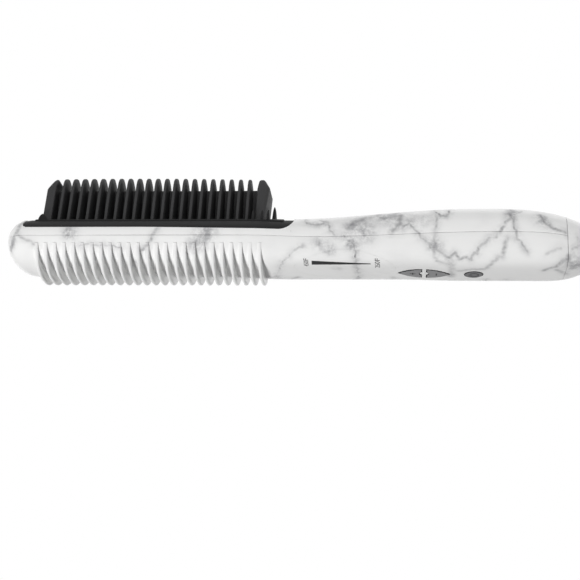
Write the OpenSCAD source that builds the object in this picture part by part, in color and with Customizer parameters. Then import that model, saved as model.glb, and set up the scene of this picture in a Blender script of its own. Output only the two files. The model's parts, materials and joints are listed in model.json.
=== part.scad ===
// Heated straightening comb: marble-pattern handle, heated comb blades, ribbed back.
// X runs along the tool from the nose, Z points the way the teeth do, and the
// tool lies on its back ribs. Inside the modules x = 0 is the nose tip and z = 0
// the seam of the head; place() moves the whole tool to its own origin.

/* [Body] */
// Width of the head
head_w = 39; // [36:0.5:46]
// Height of the head above its seam
head_h = 13; // [12:0.5:17]
// Depth of the head below its seam
head_d = 12; // [11:0.5:17]
// Width of the grip
grip_w = 34.4; // [33:0.2:40]
// Height of the grip above the head's seam
grip_h = 18.5; // [16:0.5:23]
// Depth of the grip below the head's seam
grip_d = 12.8; // [12.4:0.1:17]
// Length of the grip, from the neck to the end cap
grip_l = 128; // [124:1:160]
// Length of the end cap
cap_l = 15.5; // [13:0.5:20]
// Rise of the seam along the grip
seam_rise = 2.4; // [0:0.2:4]
// Length of the rounded nose
nose_l = 13.2; // [12:0.2:15]
// Wall of the shells
wall = 2; // [1.4:0.1:2.4]

/* [Comb] */
// Number of teeth between the two end blocks
tooth_count = 21; // [15:1:27]
// Distance from tooth to tooth
tooth_pitch = 4.57; // [4.2:0.05:5.6]
// Height of the middle tooth above the comb body
tooth_h = 27.2; // [20:0.2:34]
// Length of a tooth across the head, at its foot
tooth_w = 25.6; // [22:0.2:25.6]
// Thickness of a tooth at its foot
tooth_t = 3; // [2:0.1:3.4]
// Thickness of a tooth at its outer edge
edge_t = 1.3; // [0.8:0.1:1.9]
// Height of the ridge that joins the teeth along their middle
ridge_h = 20.4; // [4:0.2:22]
// Thickness of that ridge
ridge_t = 3; // [1.6:0.2:4]
// Distance from the nose tip to the comb
comb_start = 17; // [16.6:0.1:22]
// Length of the end block at the nose
nose_block_l = 4.2; // [3.4:0.1:6]
// Length of the end block at the grip
grip_block_l = 6.2; // [5:0.1:8]

/* [Back ribs] */
// Distance from rib to rib
rib_pitch = 4.45; // [3.6:0.05:6]
// Thickness of a rib
rib_t = 1.9; // [1.2:0.1:2.6]
// Height of a rib over the back
rib_h = 4.8; // [2:0.1:7]

/* [Buttons] */
// Length of the pair of temperature buttons
pair_l = 24.1; // [22:0.1:27]
// Width of the pair of temperature buttons
pair_w = 11.6; // [9:0.1:12]
// Distance from the end of the head to the middle of that pair
pair_from_head = 62; // [61:0.5:66]
// Diameter of the power button
power_d = 8.6; // [8:0.1:12]
// Distance from the temperature buttons' middle to the power button's
power_from_pair = 23.4; // [21:0.2:26]
// Width of the bar between the temperature buttons
bar_w = 1.9; // [1.4:0.1:2.6]
// Gap round a button
button_gap = 0.3; // [0.2:0.05:0.5]
// How far a button stands out of the back
button_proud = 0.3; // [0.2:0.1:0.8]
// How far a button is pressed in
press = 0.6; // [0.3:0.1:0.7]

/* [Electronics] */
// Length of the control board
board_l = 94; // [92:1:97]
// Width of the control board
board_w = 24; // [22:0.5:26]
// Thickness of the control board
board_t = 1.6; // [1:0.2:2]
// Diameter of the small screws
screw_d = 2.4; // [2:0.1:2.6]
// Thickness of the two heater plates
heater_t = 1.4; // [1:0.1:1.5]

/* [Cord inlet] */
// Diameter of the cord that the gland takes
cord_d = 5.2; // [4.4:0.1:6]
// Diameter of the gland's journal in the end cap
gland_d = 10.2; // [9.4:0.1:11]
// Running clearance of the gland, on the radius
fit = 0.06; // [0.03:0.01:0.09]

/* [Hidden] */
$fn = 48;
far = 60;    // past everything, for cuts
eps = 0.01;

marble_white = "#ecebea";
coat_black = "#262628";
nylon_black = "#303033";
resin_black = "#3a3a3c";
chip_black = "#202124";
button_grey = "#6f7074";
steel = "#b9bcc0";
brass = "#c8a350";
board_green = "#2f6b4a";

// Places along the tool
nose_block_gap = 3.8;
grip_block_gap = 4.1;
neck_l = 12.3;
end_cut = 2.5;
gland_nose = 4;
first_rib = 0.1;
first_tooth = comb_start + nose_block_l + nose_block_gap;
last_tooth = first_tooth + (tooth_count - 1)*tooth_pitch;
comb_end = last_tooth + grip_block_gap + grip_block_l;
head_l = comb_end + neck_l;
cap_x = head_l + grip_l;
cap_end = cap_x + cap_l;
full_l = cap_end + end_cut;
tool_l = cap_end + gland_nose;
rib_start = comb_start + first_rib;
rib_count = floor((comb_end - rib_start)/rib_pitch) + 1;
lift = head_d + rib_h;

// Stretches over which the section changes, counted from the end of the head
waist = [-21, 11];
top_rise = [-5, 83];
back_drop = [48, 80];
square_up = [-33, 11];
seam_up = [11, 93];
seam_down_l = 42;

// Section of the body: powers of its rounded outline, and the lengths of the oval tail
nose_power = 3;
nose_back_power = 2.3;
round_power = 2.4;
flat_power = 4.3;
tail_top_l = 49;
tail_back_l = 23;
tail_side_l = 30;
tip_l = 0.12;
arc_steps = 14;
nose_steps = 7;
station_l = 7;

function mix(a, b, t) = a + (b - a)*t;
function ease(a, b, x) = let (t = min(1, max(0, (x - a)/(b - a)))) t*t*(3 - 2*t);
function over(stretch, x) = ease(head_l + stretch[0], head_l + stretch[1], x);
function round_end(s, l, n) = s >= l ? 1 : pow(1 - pow(1 - max(s, tip_l)/l, n), 1/n);

function seam_z(x) = seam_rise*(over(seam_up, x) - ease(full_l - seam_down_l, full_l, x));
function side_w(x, o) = (mix(head_w, grip_w, over(waist, x))/2 - o)
    * round_end(x - o, nose_l - o, nose_power)
    * round_end(full_l - o - x, tail_side_l - o, 2);
function top_z(x, o) = (mix(head_h, grip_h, over(top_rise, x)) - o)
    * round_end(x - o, nose_l - o, 2)
    * round_end(full_l - o - x, tail_top_l - o, 2);
function back_z(x, o) = -(mix(head_d, grip_d, over(back_drop, x)) - o)
    * round_end(x - o, nose_l - o, nose_back_power)
    * round_end(full_l - o - x, tail_back_l - o, 2);
function back_power(x) = mix(round_power, flat_power, over(square_up, x));

// Height of the back's surface at x and y, o inside it
function back_at(x, y, o) = let (s = seam_z(x), n = back_power(x))
    s + (back_z(x, o) - s)*pow(1 - pow(abs(y)/side_w(x, o), n), 1/n);

// Outline of the body at x, o inside its surface, over the angles from a0 to a1
function section(x, o, a0, a1, steps) = [for (i = [0:steps])
    let (a = mix(a0, a1, i/steps), up = a <= 180, s = seam_z(x),
        n = up ? round_power : back_power(x), c = cos(a), k = abs(sin(a)),
        w = side_w(x, o), h = up ? top_z(x, o) - s : back_z(x, o) - s)
    [x, w*sign(c)*pow(abs(c), 2/n), s + h*pow(k, 2/n)]];
// Half of it, closed past the seam by the length past
function half_ring(x, o, half, past) = let (s = seam_z(x) - (half == "top" ? past : -past),
        arc = section(x, o, half == "top" ? 0 : 180, half == "top" ? 180 : 360, arc_steps))
    past == 0 ? arc : concat(arc, [[x, arc[arc_steps][1], s], [x, arc[0][1], s]]);
function full_ring(x, o) = [for (i = [0:2*arc_steps - 1])
    section(x, o, 0, 360, 2*arc_steps)[i]];

function nose_stations(o) = [for (k = [0:nose_steps])
    o + (nose_l - o)*(1 - cos(90*k/nose_steps))];
function body_stations(x1) = let (x0 = head_l + square_up[0], n = ceil((x1 - x0)/station_l))
    [for (k = [0:n]) mix(x0, x1, k/n)];

// Closed solid through a list of rings with as many points each. A side whose ends
// lie level in both rings stays one flat face where level is true.
module skin(rings, level = false) {
    m = len(rings[0]);
    n = len(rings);
    sides = [for (i = [0:n - 2], j = [0:m - 1]) let (k = (j + 1) % m, a = i*m, b = a + m)
        each level && abs(rings[i][j][2] - rings[i][k][2]) < 1e-6
            && abs(rings[i + 1][j][2] - rings[i + 1][k][2]) < 1e-6
            ? [[a + j, b + j, b + k, a + k]] : [[a + j, b + j, b + k], [a + j, b + k, a + k]]];
    ends = [[for (j = [0:m - 1]) j], [for (j = [m - 1:-1:0]) (n - 1)*m + j]];
    polyhedron([for (r = rings) each r], concat(sides, ends), convexity = 6);
}
module half_body(o, half, x1, past = 0)
    skin([for (x = concat(nose_stations(o), body_stations(x1))) half_ring(x, o, half, past)],
        level = true);
module tail_body(o, x0, x1, steps)
    skin([for (k = [0:steps]) full_ring(mix(x0, x1, k/steps), o)]);

module place() translate([-tool_l/2, 0, lift]) children();
module both_sides() for (m = [0, 1]) mirror([0, m, 0]) children();
module box(x0, x1, y0, y1, z0, z1) translate([x0, y0, z0]) cube([x1 - x0, y1 - y0, z1 - z0]);
module slab(x0, x1, half_y, z0, z1) box(x0, x1, -half_y, half_y, z0, z1);
module pin(x, y, z0, z1, r) translate([x, y, z0]) cylinder(r = r, h = z1 - z0);
module rod_x(x0, x1, r, y = 0, z = 0)
    translate([x0, y, z]) rotate([0, 90, 0]) cylinder(r = r, h = x1 - x0);
// A side outline drawn in X and Z, made half_y wide to each side
module from_side(half_y) rotate([90, 0, 0]) linear_extrude(2*half_y, center = true) children();
// An outline drawn in Y and Z, made long in X
module from_end(x0, x1) translate([x0, 0, 0]) rotate([90, 0, 90]) linear_extrude(x1 - x0) children();

// Insulated wire through a list of points, as one tube that bends at each of them
function unit(v) = v/norm(v);
function wire_ring(p, along, r) = let (u = unit(cross([0, 0, 1], along)), v = cross(along, u))
    [for (a = [0:30:330]) p + r*(cos(a)*u + sin(a)*v)];
module wire(points, r) skin([for (i = [0:len(points) - 1])
    let (before = points[max(i - 1, 0)], after = points[min(i + 1, len(points) - 1)],
        along = i == 0 || i == len(points) - 1 ? after - before
            : unit(after - points[i]) + unit(points[i] - before))
    wire_ring(points[i], unit(along), r)]);

// Screws: clearance round the shank where it passes, and where it bites
screw_r = screw_d/2;
pass_gap = 0.15;
bite_gap = 0.05;
boss_t = 1.4;
post_sink = 0.1;
head_rim = 1.1;
screw_head_h = 1.5;
module screw(x, y, tip_z, seat_z) {
    pin(x, y, tip_z, seat_z, screw_r);
    pin(x, y, seat_z, seat_z + screw_head_h, screw_r + head_rim);
}

// Black cover round the comb, drawn from the side. Its lower edge falls towards the neck.
cover_start = 9.1;
cover_past = 0.5;
cover_z = 4.55;
cover_drop = 0.9;
cover_level = 0.4;
cover_sink = 0.6;
cover_gap = 0.1;
cover_nose_r = 2.6;
cover_neck_r = 7.5;
cover_x1 = head_l + cover_past;
module cover_outline(gap) translate([0, cover_z - gap]) {
    a = cover_start - gap;
    b = cover_x1 + gap;
    bend = b - cover_neck_r;
    polygon(concat([[bend, far], [a + cover_nose_r, far], [a + cover_nose_r, 0]],
        [for (k = [0:0.125:1]) [mix(mix(a, b, cover_level), bend, k), -cover_drop*ease(0, 1, k)]]));
    translate([a, cover_nose_r]) square([cover_nose_r + 1, far]);
    translate([a + cover_nose_r, cover_nose_r]) circle(cover_nose_r);
    translate([bend - 1, cover_neck_r - cover_drop]) square([cover_neck_r + 1, far]);
    translate([bend, cover_neck_r - cover_drop]) circle(cover_neck_r);
}

// The stack under the teeth, from the comb's flange down to the carrier
flange_z = 5.5;
flange_t = 1.7;
flange_over = 1.6;
comb_top_z = 9.6;
insulation_t = 0.4;
clamp_t = 0.8;
carrier_t = 2;
clamp_z = flange_z - heater_t - insulation_t - clamp_t;
carrier_z = clamp_z - carrier_t;
slot_gap = 0.25;
rim_w = 1.25;
slot_half_w = tooth_w/2 + slot_gap;
flange_half_w = slot_half_w + rim_w - 0.1;
frame_half_w = slot_half_w + rim_w;
frame_z = flange_z + flange_t + 0.1;

// Screws and posts of the head
tab_z = 1.9;
tab_t = 1.6;
tab_half_l = 3;
shell_screw_x = [cover_start + 2.4, head_l - 6];
shell_screw_tip = -6;
comb_screw_inset = 9.8;
comb_screw_x = [comb_start + comb_screw_inset, comb_end - comb_screw_inset];
comb_screw_y = tooth_w/2 - 2.4;
carrier_post_inset = 24;
carrier_post_x = [comb_start + carrier_post_inset, comb_end - carrier_post_inset];
carrier_post_y = 12;
carrier_post_r = 2.2;

// Board, buttons and switches
neck_to_board = 7;
board_z = -5.3;
board_top = board_z + board_t;
board_x0 = head_l + neck_to_board;
board_x1 = board_x0 + board_l;
post_inset = 5;
post_edge = 3;
board_post_y = board_w/2 - post_edge;
board_post_r = screw_r + boss_t;
board_posts = [[board_x0 + post_inset, board_post_y], [board_x1 - post_inset, board_post_y],
    [board_x1 - post_inset, -board_post_y]];
board_screw_l = 4;
pair_x = head_l + pair_from_head;
power_x = pair_x + power_from_pair;
stem_x = 5.5;
stem_r = 1.65;
stem_gap = 0.1;
stem_reach = 1;
switch_w = 6;
switch_l = 5.2;
switch_h = 3;
switch_z = board_z - switch_h;
stem_top = switch_z + stem_reach;
lip_gap = 0.2;
lip_t = 0.7;
lip_w = 0.9;
button_cut_z = -8;
dot_r = 2;
lens_r = 1.1;
lens_gap = 0.05;
led_h = 0.6;

// Two arcs that meet in a point at each end
module lens_shape(l, w) {
    r = (l*l + w*w)/(4*w);
    intersection() {
        translate([0, r - w/2]) circle(r, $fn = 96);
        translate([0, w/2 - r]) circle(r, $fn = 96);
    }
}
// The pair's outline grown by g at the sides, and by twice that at its points
module grown_lens(g) lens_shape(pair_l + 4*g, pair_w + 2*g);
// One of the two temperature buttons, grown by g; side is -1 towards the head
module pair_half(side, g) difference() {
    grown_lens(g);
    translate([side > 0 ? -pair_l : -bar_w/2 - button_gap + g, -pair_w])
        square([pair_l + bar_w/2 + button_gap - g, 2*pair_w]);
    circle(dot_r + button_gap - g);
}
module pair_window() difference() {
    grown_lens(button_gap);
    translate([-bar_w/2, -pair_w]) square([bar_w, 2*pair_w]);
    circle(dot_r);
}

// Oval panel of the scale, on the side of the back
panel_from_head = 24.5;
panel_x = head_l + panel_from_head;
panel_half_l = 24;
panel_half_w = 11.6;
panel_tilt = 30;
panel_gap = 0.12;
module panel_prism(gap) translate([panel_x, 0, 0]) rotate([-panel_tilt, 0, 0])
    mirror([0, 0, 1]) linear_extrude(far/2)
    polygon([for (a = [0:7.5:352.5]) [(panel_half_l - gap)*cos(a), (panel_half_w - gap)*sin(a)]]);

// Ribs over the back of the head, flush with it near the seam
rib_root = 1;
rib_flush = 0.2;
rib_from = 10;
rib_steps = 16;
function rib_arc(half_w, depth) = [for (i = [0:rib_steps])
    let (a = mix(rib_from, 180 - rib_from, i/rib_steps))
    [half_w*sign(cos(a))*pow(abs(cos(a)), 2/round_power), -depth*pow(sin(a), 2/round_power)]];
function reversed(list) = [for (i = [len(list) - 1:-1:0]) list[i]];
module rib_shape() polygon(concat(rib_arc(head_w/2 + rib_flush, head_d + rib_h),
    reversed(rib_arc(head_w/2 - rib_root, head_d - rib_root))));
module ribs() for (i = [0:rib_count - 1]) let (x = rib_start + i*rib_pitch - rib_t/2)
    from_end(x, x + rib_t) rib_shape();

module back_shell() place() color(marble_white) difference() {
    union() {
        difference() {
            half_body(0, "back", cap_x);
            half_body(wall, "back", cap_x + 1, 1);
            panel_prism(0);
        }
        ribs();
        for (x = shell_screw_x) pin(x, 0, back_at(x, 0, wall/2), tab_z, screw_r + boss_t);
        for (x = carrier_post_x, y = [-carrier_post_y, carrier_post_y])
            pin(x, y, back_at(x, carrier_post_y + carrier_post_r, post_sink), carrier_z,
                carrier_post_r);
        for (p = board_posts)
            pin(p[0], p[1], back_at(p[0], board_post_y + board_post_r, post_sink), board_z,
                board_post_r);
    }
    for (x = shell_screw_x) pin(x, 0, shell_screw_tip - 1, tab_z + 1, screw_r + bite_gap);
    for (p = board_posts)
        pin(p[0], p[1], board_z - board_screw_l - 0.5, board_z + 1, screw_r + bite_gap);
    translate([pair_x, 0, -far]) linear_extrude(far + button_cut_z) pair_window();
    pin(pair_x, 0, -far, button_cut_z, lens_r + lens_gap);
    pin(power_x, 0, -far, button_cut_z, power_d/2 + button_gap);
}

tab_sink = 0.4;
module front_shell() place() color(marble_white) {
    difference() {
        half_body(0, "top", cap_x);
        half_body(wall, "top", cap_x + 1, 1);
        from_side(far) cover_outline(cover_gap);
    }
    difference() {
        intersection() {
            half_body(wall - tab_sink, "top", head_l + neck_l);
            for (x = shell_screw_x)
                slab(x - tab_half_l, x + tab_half_l, far, tab_z, tab_z + tab_t);
        }
        for (x = shell_screw_x) pin(x, 0, 0, far, screw_r + pass_gap);
    }
}

// The cap's sleeve inside the shells holds them together at the tail
sleeve_l = 8;
sleeve_t = 1.5;
sleeve_gap = 0.3;
sleeve_in = wall + sleeve_gap + sleeve_t;
web_l = 1.5;
web_bite = 0.3;
cap_end_t = 4.3;
module end_cap() place() color(marble_white) difference() {
    union() {
        difference() {
            tail_body(0, cap_x, cap_end, 8);
            tail_body(wall, cap_x - 1, cap_end - cap_end_t, 6);
        }
        difference() {
            union() {
                tail_body(wall + sleeve_gap, cap_x - sleeve_l, cap_x + web_l/2, 3);
                tail_body(wall - web_bite, cap_x, cap_x + web_l, 1);
            }
            tail_body(sleeve_in, cap_x - sleeve_l - 1, cap_x + web_l + 1, 4);
        }
    }
    rod_x(cap_end - cap_end_t - 1, cap_end + 1, gland_d/2 + fit);
}

module scale_window() place() color(marble_white) intersection() {
    difference() {
        half_body(0, "back", cap_x);
        half_body(wall, "back", cap_x + 1, 1);
    }
    panel_prism(panel_gap);
}

frame_nose_l = 3;
frame_neck_l = 7.5;
frame_gap = 0.2;
frame_x0 = comb_start - frame_nose_l;
frame_x1 = comb_end + frame_neck_l;
module comb_cover() place() color(nylon_black) difference() {
    intersection() {
        half_body(cover_sink, "top", head_l + neck_l);
        from_side(far) cover_outline(0);
    }
    half_body(cover_sink + wall, "top", head_l + neck_l + 1, 1);
    slab(frame_x0 - frame_gap, frame_x1 + frame_gap, frame_half_w + frame_gap, 0, far);
}

// Upright guard: a plate across the head that thins towards its tip; it stands between
// y0 and y1, z0 and z1, t0 thick at its foot and t1 at its tip, and leans in by lean
module guard(x, y0, y1, z0, z1, t0, t1, lean) intersection() {
    from_side(far) polygon([[x - t0/2, z0], [x + t0/2, z0], [x + t1/2, z1], [x - t1/2, z1]]);
    from_end(0, 3*head_l) polygon([[y0, z0], [y1, z0], [y1 - lean, z1], [y0 + lean/5, z1]]);
}
frame_proud = 0.5;
guard_foot_z = 8;
guard_top_z = 14.8;
guard_x = [comb_end - 7, comb_end - 2.6, comb_end + 0.3];
bump_x = comb_start + 0.4;
bump_top_z = 13.2;
bump_r = 2.3;
spike_x = comb_end + 2;
spike_top_z = 21.3;
spike_half_w = 5;
spike_t = 3.4;
spike_tip_t = 0.9;
module bump() intersection() {
    from_side(far) hull() {
        translate([bump_x, bump_top_z - bump_r]) circle(bump_r, $fn = 24);
        translate([bump_x - bump_r, guard_foot_z]) square([2*bump_r, eps]);
    }
    box(0, head_l, slot_half_w, flange_half_w, 0, far);
}
module guard_frame() place() color(nylon_black) {
    difference() {
        intersection() {
            half_body(cover_sink - frame_proud, "top", head_l + neck_l);
            slab(frame_x0, frame_x1, frame_half_w, frame_z, far);
        }
        slab(comb_start - slot_gap, comb_end + slot_gap, slot_half_w, 0, far);
    }
    both_sides() {
        bump();
        for (x = guard_x)
            guard(x, slot_half_w, flange_half_w, guard_foot_z, guard_top_z, 1.5, 1.1, 0.5);
        guard(spike_x, -eps, spike_half_w, frame_z, spike_top_z, spike_t, spike_tip_t, 3);
    }
}

// Half length and thickness of a tooth at shares of its height, which is drop less than
// the middle one's
tooth_root = 0.2;
tooth_crown = 0.9;
crown_at = 0.3;
tooth_levels = [0, 0.2, 0.4, 0.6, 0.74, 0.84, 0.91, 0.96, 0.99, 1];
function tooth_half_w(k) = tooth_w/2*(1 - 0.48*k)*sqrt(max(0.01, 1 - pow(k, 11)));
function tooth_mid_t(k) = tooth_t*(1 - 0.1*k - 0.564*ease(0.663, 1.06, k));
function tooth_drop(i) = tooth_crown*pow((i/(tooth_count - 1) - crown_at)/(1 - crown_at), 2);
function tooth_z(k, drop = 0) = comb_top_z - tooth_root + k*(tooth_h - drop + tooth_root);
module tooth(x, drop) skin([for (k = tooth_levels) let (w = tooth_half_w(k),
        m = tooth_mid_t(k)/2, e = min(edge_t/2, 0.8*m), z = tooth_z(k, drop))
    [[x + e, -w, z], [x + m, -w/2, z], [x + m, w/2, z], [x + e, w, z],
        [x - e, w, z], [x - m, w/2, z], [x - m, -w/2, z], [x - e, -w, z]]]);
module across_shape() {
    side = [for (k = tooth_levels) [tooth_half_w(k), tooth_z(k)]];
    polygon(concat(side, [for (p = reversed(side)) [-p[0], p[1]]]));
}
// End block with its outer face at x; dir is +1 at the nose end. The lists hold the inset of
// its inner and its outer face at shares of the tooth height.
nose_inner = [[0, 0.75], [-0.7, 0.87], [-0.6, 0.9], [-0.3, 0.908]];
nose_outer = [[3.4, 0.908], [2.9, 0.89], [0, 0.69]];
grip_inner = [[0, 0.7], [0.5, 0.783], [1.3, 0.857], [1.8, 0.875]];
grip_outer = [[3.4, 0.875], [2.9, 0.857], [0, 0.69]];
module end_block(x, base, inner, outer, dir) intersection() {
    line = concat([[0, tooth_z(0)], [base, tooth_z(0)]],
        [for (p = inner) [base - p[0], comb_top_z + p[1]*tooth_h]],
        [for (p = outer) [p[0], comb_top_z + p[1]*tooth_h]]);
    from_side(far) polygon([for (p = line) [x + dir*p[0], p[1]]]);
    from_end(0, 3*head_l) across_shape();
}
ridge_bite = 1.2;
module heated_comb() place() color(coat_black) difference() {
    union() {
        slab(comb_start, comb_end, tooth_w/2 - tooth_root, flange_z, comb_top_z);
        slab(comb_start - flange_over, comb_end + flange_over, flange_half_w, flange_z,
            flange_z + flange_t);
        for (i = [0:tooth_count - 1]) tooth(first_tooth + i*tooth_pitch, tooth_drop(i));
        end_block(comb_start, nose_block_l, nose_inner, nose_outer, 1);
        end_block(comb_end, grip_block_l, grip_inner, grip_outer, -1);
        slab(comb_start + nose_block_l - ridge_bite, comb_end - grip_block_l + ridge_bite, ridge_t/2,
            comb_top_z - tooth_root, comb_top_z + ridge_h);
    }
    for (x = comb_screw_x, y = [-comb_screw_y, comb_screw_y])
        pin(x, y, flange_z - 1, comb_top_z - 1, screw_r + bite_gap);
}

heater_half_w = 6;
heater_inset = 6;
heater_mid_gap = 6;
heater_l = (comb_end - comb_start)/2 - heater_inset - heater_mid_gap/2;
heater_x = [comb_start + heater_inset, comb_end - heater_inset - heater_l];
module heater_plates() place() color("#d9d4c8") for (x = heater_x)
    slab(x, x + heater_l, heater_half_w, flange_z - heater_t, flange_z);
sheet_half_w = 8.5;
sheet_inset = 4;
module sheet_over(z0, z1)
    slab(comb_start + sheet_inset, comb_end - sheet_inset, sheet_half_w, z0, z1);
module heater_insulation() place() color("#c9b27a")
    sheet_over(clamp_z + clamp_t, flange_z - heater_t);
module heater_clamp() place() color(steel) sheet_over(clamp_z, clamp_z + clamp_t);

cover_side_gap = 2.1;
carrier_half_w = head_w/2 - cover_sink - wall - cover_side_gap;
carrier_lip = 2;
carrier_inset = 1;
fuse_from_end = 35;
fuse_x = comb_end - fuse_from_end;
fuse_r = 1.6;
fuse_l = 10;
sensor_from_start = 30;
sensor_x = comb_start + sensor_from_start;
sensor_l = 5;
sensor_w = 3;
part_gap = 0.3;
module comb_carrier() place() color(resin_black) difference() {
    x0 = comb_start + carrier_inset;
    x1 = comb_end - carrier_inset;
    union() {
        slab(x0, x1, carrier_half_w, carrier_z, clamp_z);
        both_sides() box(x0, x1, flange_half_w - carrier_lip, carrier_half_w, clamp_z, flange_z);
    }
    for (x = comb_screw_x, y = [-comb_screw_y, comb_screw_y])
        pin(x, y, carrier_z - 1, flange_z + 1, screw_r + pass_gap);
    slab(fuse_x - fuse_l/2 - part_gap, fuse_x + fuse_l/2 + part_gap, fuse_r + part_gap, -far, far);
    slab(sensor_x - sensor_l/2 - part_gap, sensor_x + sensor_l/2 + part_gap,
        sensor_w/2 + part_gap, -far, far);
}
module comb_screws() place() color(steel) for (x = comb_screw_x, y = [-comb_screw_y, comb_screw_y])
    mirror([0, 0, 1]) screw(x, y, -comb_top_z + 1.3, -carrier_z);
module shell_screws() place() color(steel)
    for (x = shell_screw_x) screw(x, 0, shell_screw_tip, tab_z + tab_t);
module thermal_fuse() place() color("#cfcfcf")
    rod_x(fuse_x - fuse_l/2, fuse_x + fuse_l/2, fuse_r, 0, clamp_z - fuse_r - 0.05);
module temperature_sensor() place() color("#a33c2c")
    slab(sensor_x - sensor_l/2, sensor_x + sensor_l/2, sensor_w/2, clamp_z - 1.6, clamp_z);

lead_r = 0.6;
lead_y = 4.5;
lead_z = flange_z - lead_r - 0.15;
lead_start = heater_x[1] + heater_l + 0.05;
lead_dip = [comb_end + 2.8, -0.5];
module heater_leads() place() color("#f4f2ee") for (y = [-lead_y, lead_y])
    wire([[lead_start, y, lead_z], [comb_end - 0.5, y, lead_z], [lead_dip[0], y, lead_dip[1]],
        [board_x0 + 3.5, y, board_top + lead_r]], lead_r);

module control_board() place() color(board_green) difference() {
    slab(board_x0, board_x1, board_w/2, board_z, board_top);
    for (p = board_posts) pin(p[0], p[1], board_z - 1, board_top + 1, screw_r + pass_gap);
}
module board_screws() place() color(steel)
    for (p = board_posts) screw(p[0], p[1], board_z - board_screw_l, board_top);

// Components stand on the board
power_end_x = board_x0 + 16;
capacitor_size = [15, 7, 10];
triac_size = [10, 4.5, 8];
triac_tab = [10, 1.3, 13];
chip_size = [12, 8, 1.6];
chip_x = board_x0 + 48;
module on_board(x, y, size) translate([x, y, board_top]) cube(size);
module film_capacitor() place() color("#c9402f") on_board(power_end_x, -10, capacitor_size);
module power_triac() place() color(chip_black) {
    on_board(power_end_x, 2.5, triac_size);
    on_board(power_end_x, 2.5 + triac_size[1] - triac_tab[1], triac_tab);
}
module control_chip() place() color(chip_black) on_board(chip_x, -chip_size[1]/2, chip_size);
block_l = 11;
block_half_w = 7;
block_h = 9;
block_from_end = 11;
block_x1 = board_x1 - block_from_end;
block_x0 = block_x1 - block_l;
pole_y = 3.5;
pole_z = board_top + 4;
module terminal_block() place() color("#3f6fae") difference() {
    slab(block_x0, block_x1, block_half_w, board_top, board_top + block_h);
    for (y = [-pole_y, pole_y]) {
        rod_x(block_x0 + 3, block_x1 + 1, 1.1, y, pole_z);
        pin((block_x0 + block_x1)/2, y, pole_z, pole_z + far, 1.4);
    }
}

// Lamps under the scale and behind the dot between the buttons
scale_x0 = head_l + 9.2;
scale_x1 = head_l + 36.9;
lamp_y = -9.8;
lamp_count = 5;
lamp_l = 1.6;
lamp_w = 1.2;
lamp_inset = 2.75;
module lamp(x, y) translate([x - lamp_l/2, y - lamp_w/2, board_z - led_h])
    cube([lamp_l, lamp_w, led_h]);
module indicator_leds() place() color("#fdf6d8") {
    for (i = [0:lamp_count - 1])
        lamp(mix(scale_x0 + lamp_inset, scale_x1 - lamp_inset, i/(lamp_count - 1)), lamp_y);
    lamp(pair_x, 0);
}
lamp_gap = 0.1;
module light_diffuser() place() color("#f2f4f4") from_end(scale_x0, scale_x1)
    polygon([for (p = [[-1.2, 0], [1.2, 0], [1.8, 1.2], [-0.9, 2.1]])
        [lamp_y + p[0], p[1] == 0 ? board_z - led_h - lamp_gap : back_z(scale_x0, wall) + p[1]]]);
lens_sink = 0.1;
module indicator_lens() place() color("#f8f8f8")
    pin(pair_x, 0, back_z(pair_x, 0) - lens_sink, board_z - led_h - lamp_gap, lens_r);

module tactile_switches() place() color(chip_black)
    for (x = [pair_x - stem_x, pair_x + stem_x, power_x]) difference() {
        slab(x - switch_l/2, x + switch_l/2, switch_w/2, switch_z, board_z);
        pin(x, 0, switch_z - 1, stem_top + press + 0.2, stem_r + stem_gap);
    }
// A button's face follows the back; its lip lies on the shell's inside, which is highest
// at the end of the button that is nearer the head
function lip_top(x) = back_z(x - pair_l/2, wall) + lip_gap + lip_t;
module button_pad(x) intersection() {
    translate([x, 0, -far]) linear_extrude(far + lip_top(x)) children();
    half_body(-button_proud, "back", cap_x);
}
module button_lip(x) translate([x, 0, lip_top(x) - lip_t]) linear_extrude(lip_t) children();
module pair_button(side) {
    button_pad(pair_x) pair_half(side, 0);
    button_lip(pair_x) intersection() {
        pair_half(side, lip_w);
        translate([side > 0 ? bar_w/2 + button_gap : -pair_l, -pair_w])
            square([pair_l - bar_w/2 - button_gap, 2*pair_w]);
    }
    pin(pair_x + side*stem_x, 0, lip_top(pair_x) - lip_t/2, stem_top, stem_r);
}
module hotter_button() place() color(button_grey) pair_button(-1);
module cooler_button() place() color(button_grey) pair_button(1);
module power_button() place() color(button_grey) {
    button_pad(power_x) circle(power_d/2);
    button_lip(power_x) circle(power_d/2 + button_gap + lip_t);
    pin(power_x, 0, lip_top(power_x) - lip_t/2, stem_top, stem_r);
}

// Gland that turns with the cord, its two rings and the springs that touch them
gland_gap = 0.3;
gland_flange_x = cap_end - cap_end_t - gland_gap;
gland_flange_t = 1.5;
gland_flange_w = 1.5;
barrel_t = 1;
barrel_end_t = 2;
ring_t = 0.7;
ring_l = 2;
ring_x = [cap_x - 4, cap_x + 1];
barrel_r = cord_d/2 + barrel_t;
ring_r = barrel_r + ring_t;
bracket_t = 3;
bracket_gap = 0.25;
bracket_room = 0.4;
bracket_x = cap_x - sleeve_l - bracket_t - bracket_room;
pin_r = 1.8;
barrel_x = cap_x - 6;
module swivel_gland() place() color(nylon_black) difference() {
    union() {
        translate([cap_end + 0.1, 0, 0]) rotate([0, 90, 0])
            cylinder(r1 = gland_d/2 + 0.5, r2 = cord_d/2 + 1.4, h = gland_nose - 0.1);
        rod_x(gland_flange_x - gland_flange_t/2, cap_end + 0.1, gland_d/2);
        rod_x(gland_flange_x - gland_flange_t, gland_flange_x, gland_d/2 + gland_flange_w);
        rod_x(barrel_x, gland_flange_x, barrel_r);
        rod_x(bracket_x, barrel_x, pin_r);
    }
    rod_x(barrel_x + barrel_end_t, tool_l + 1, cord_d/2);
}
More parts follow.
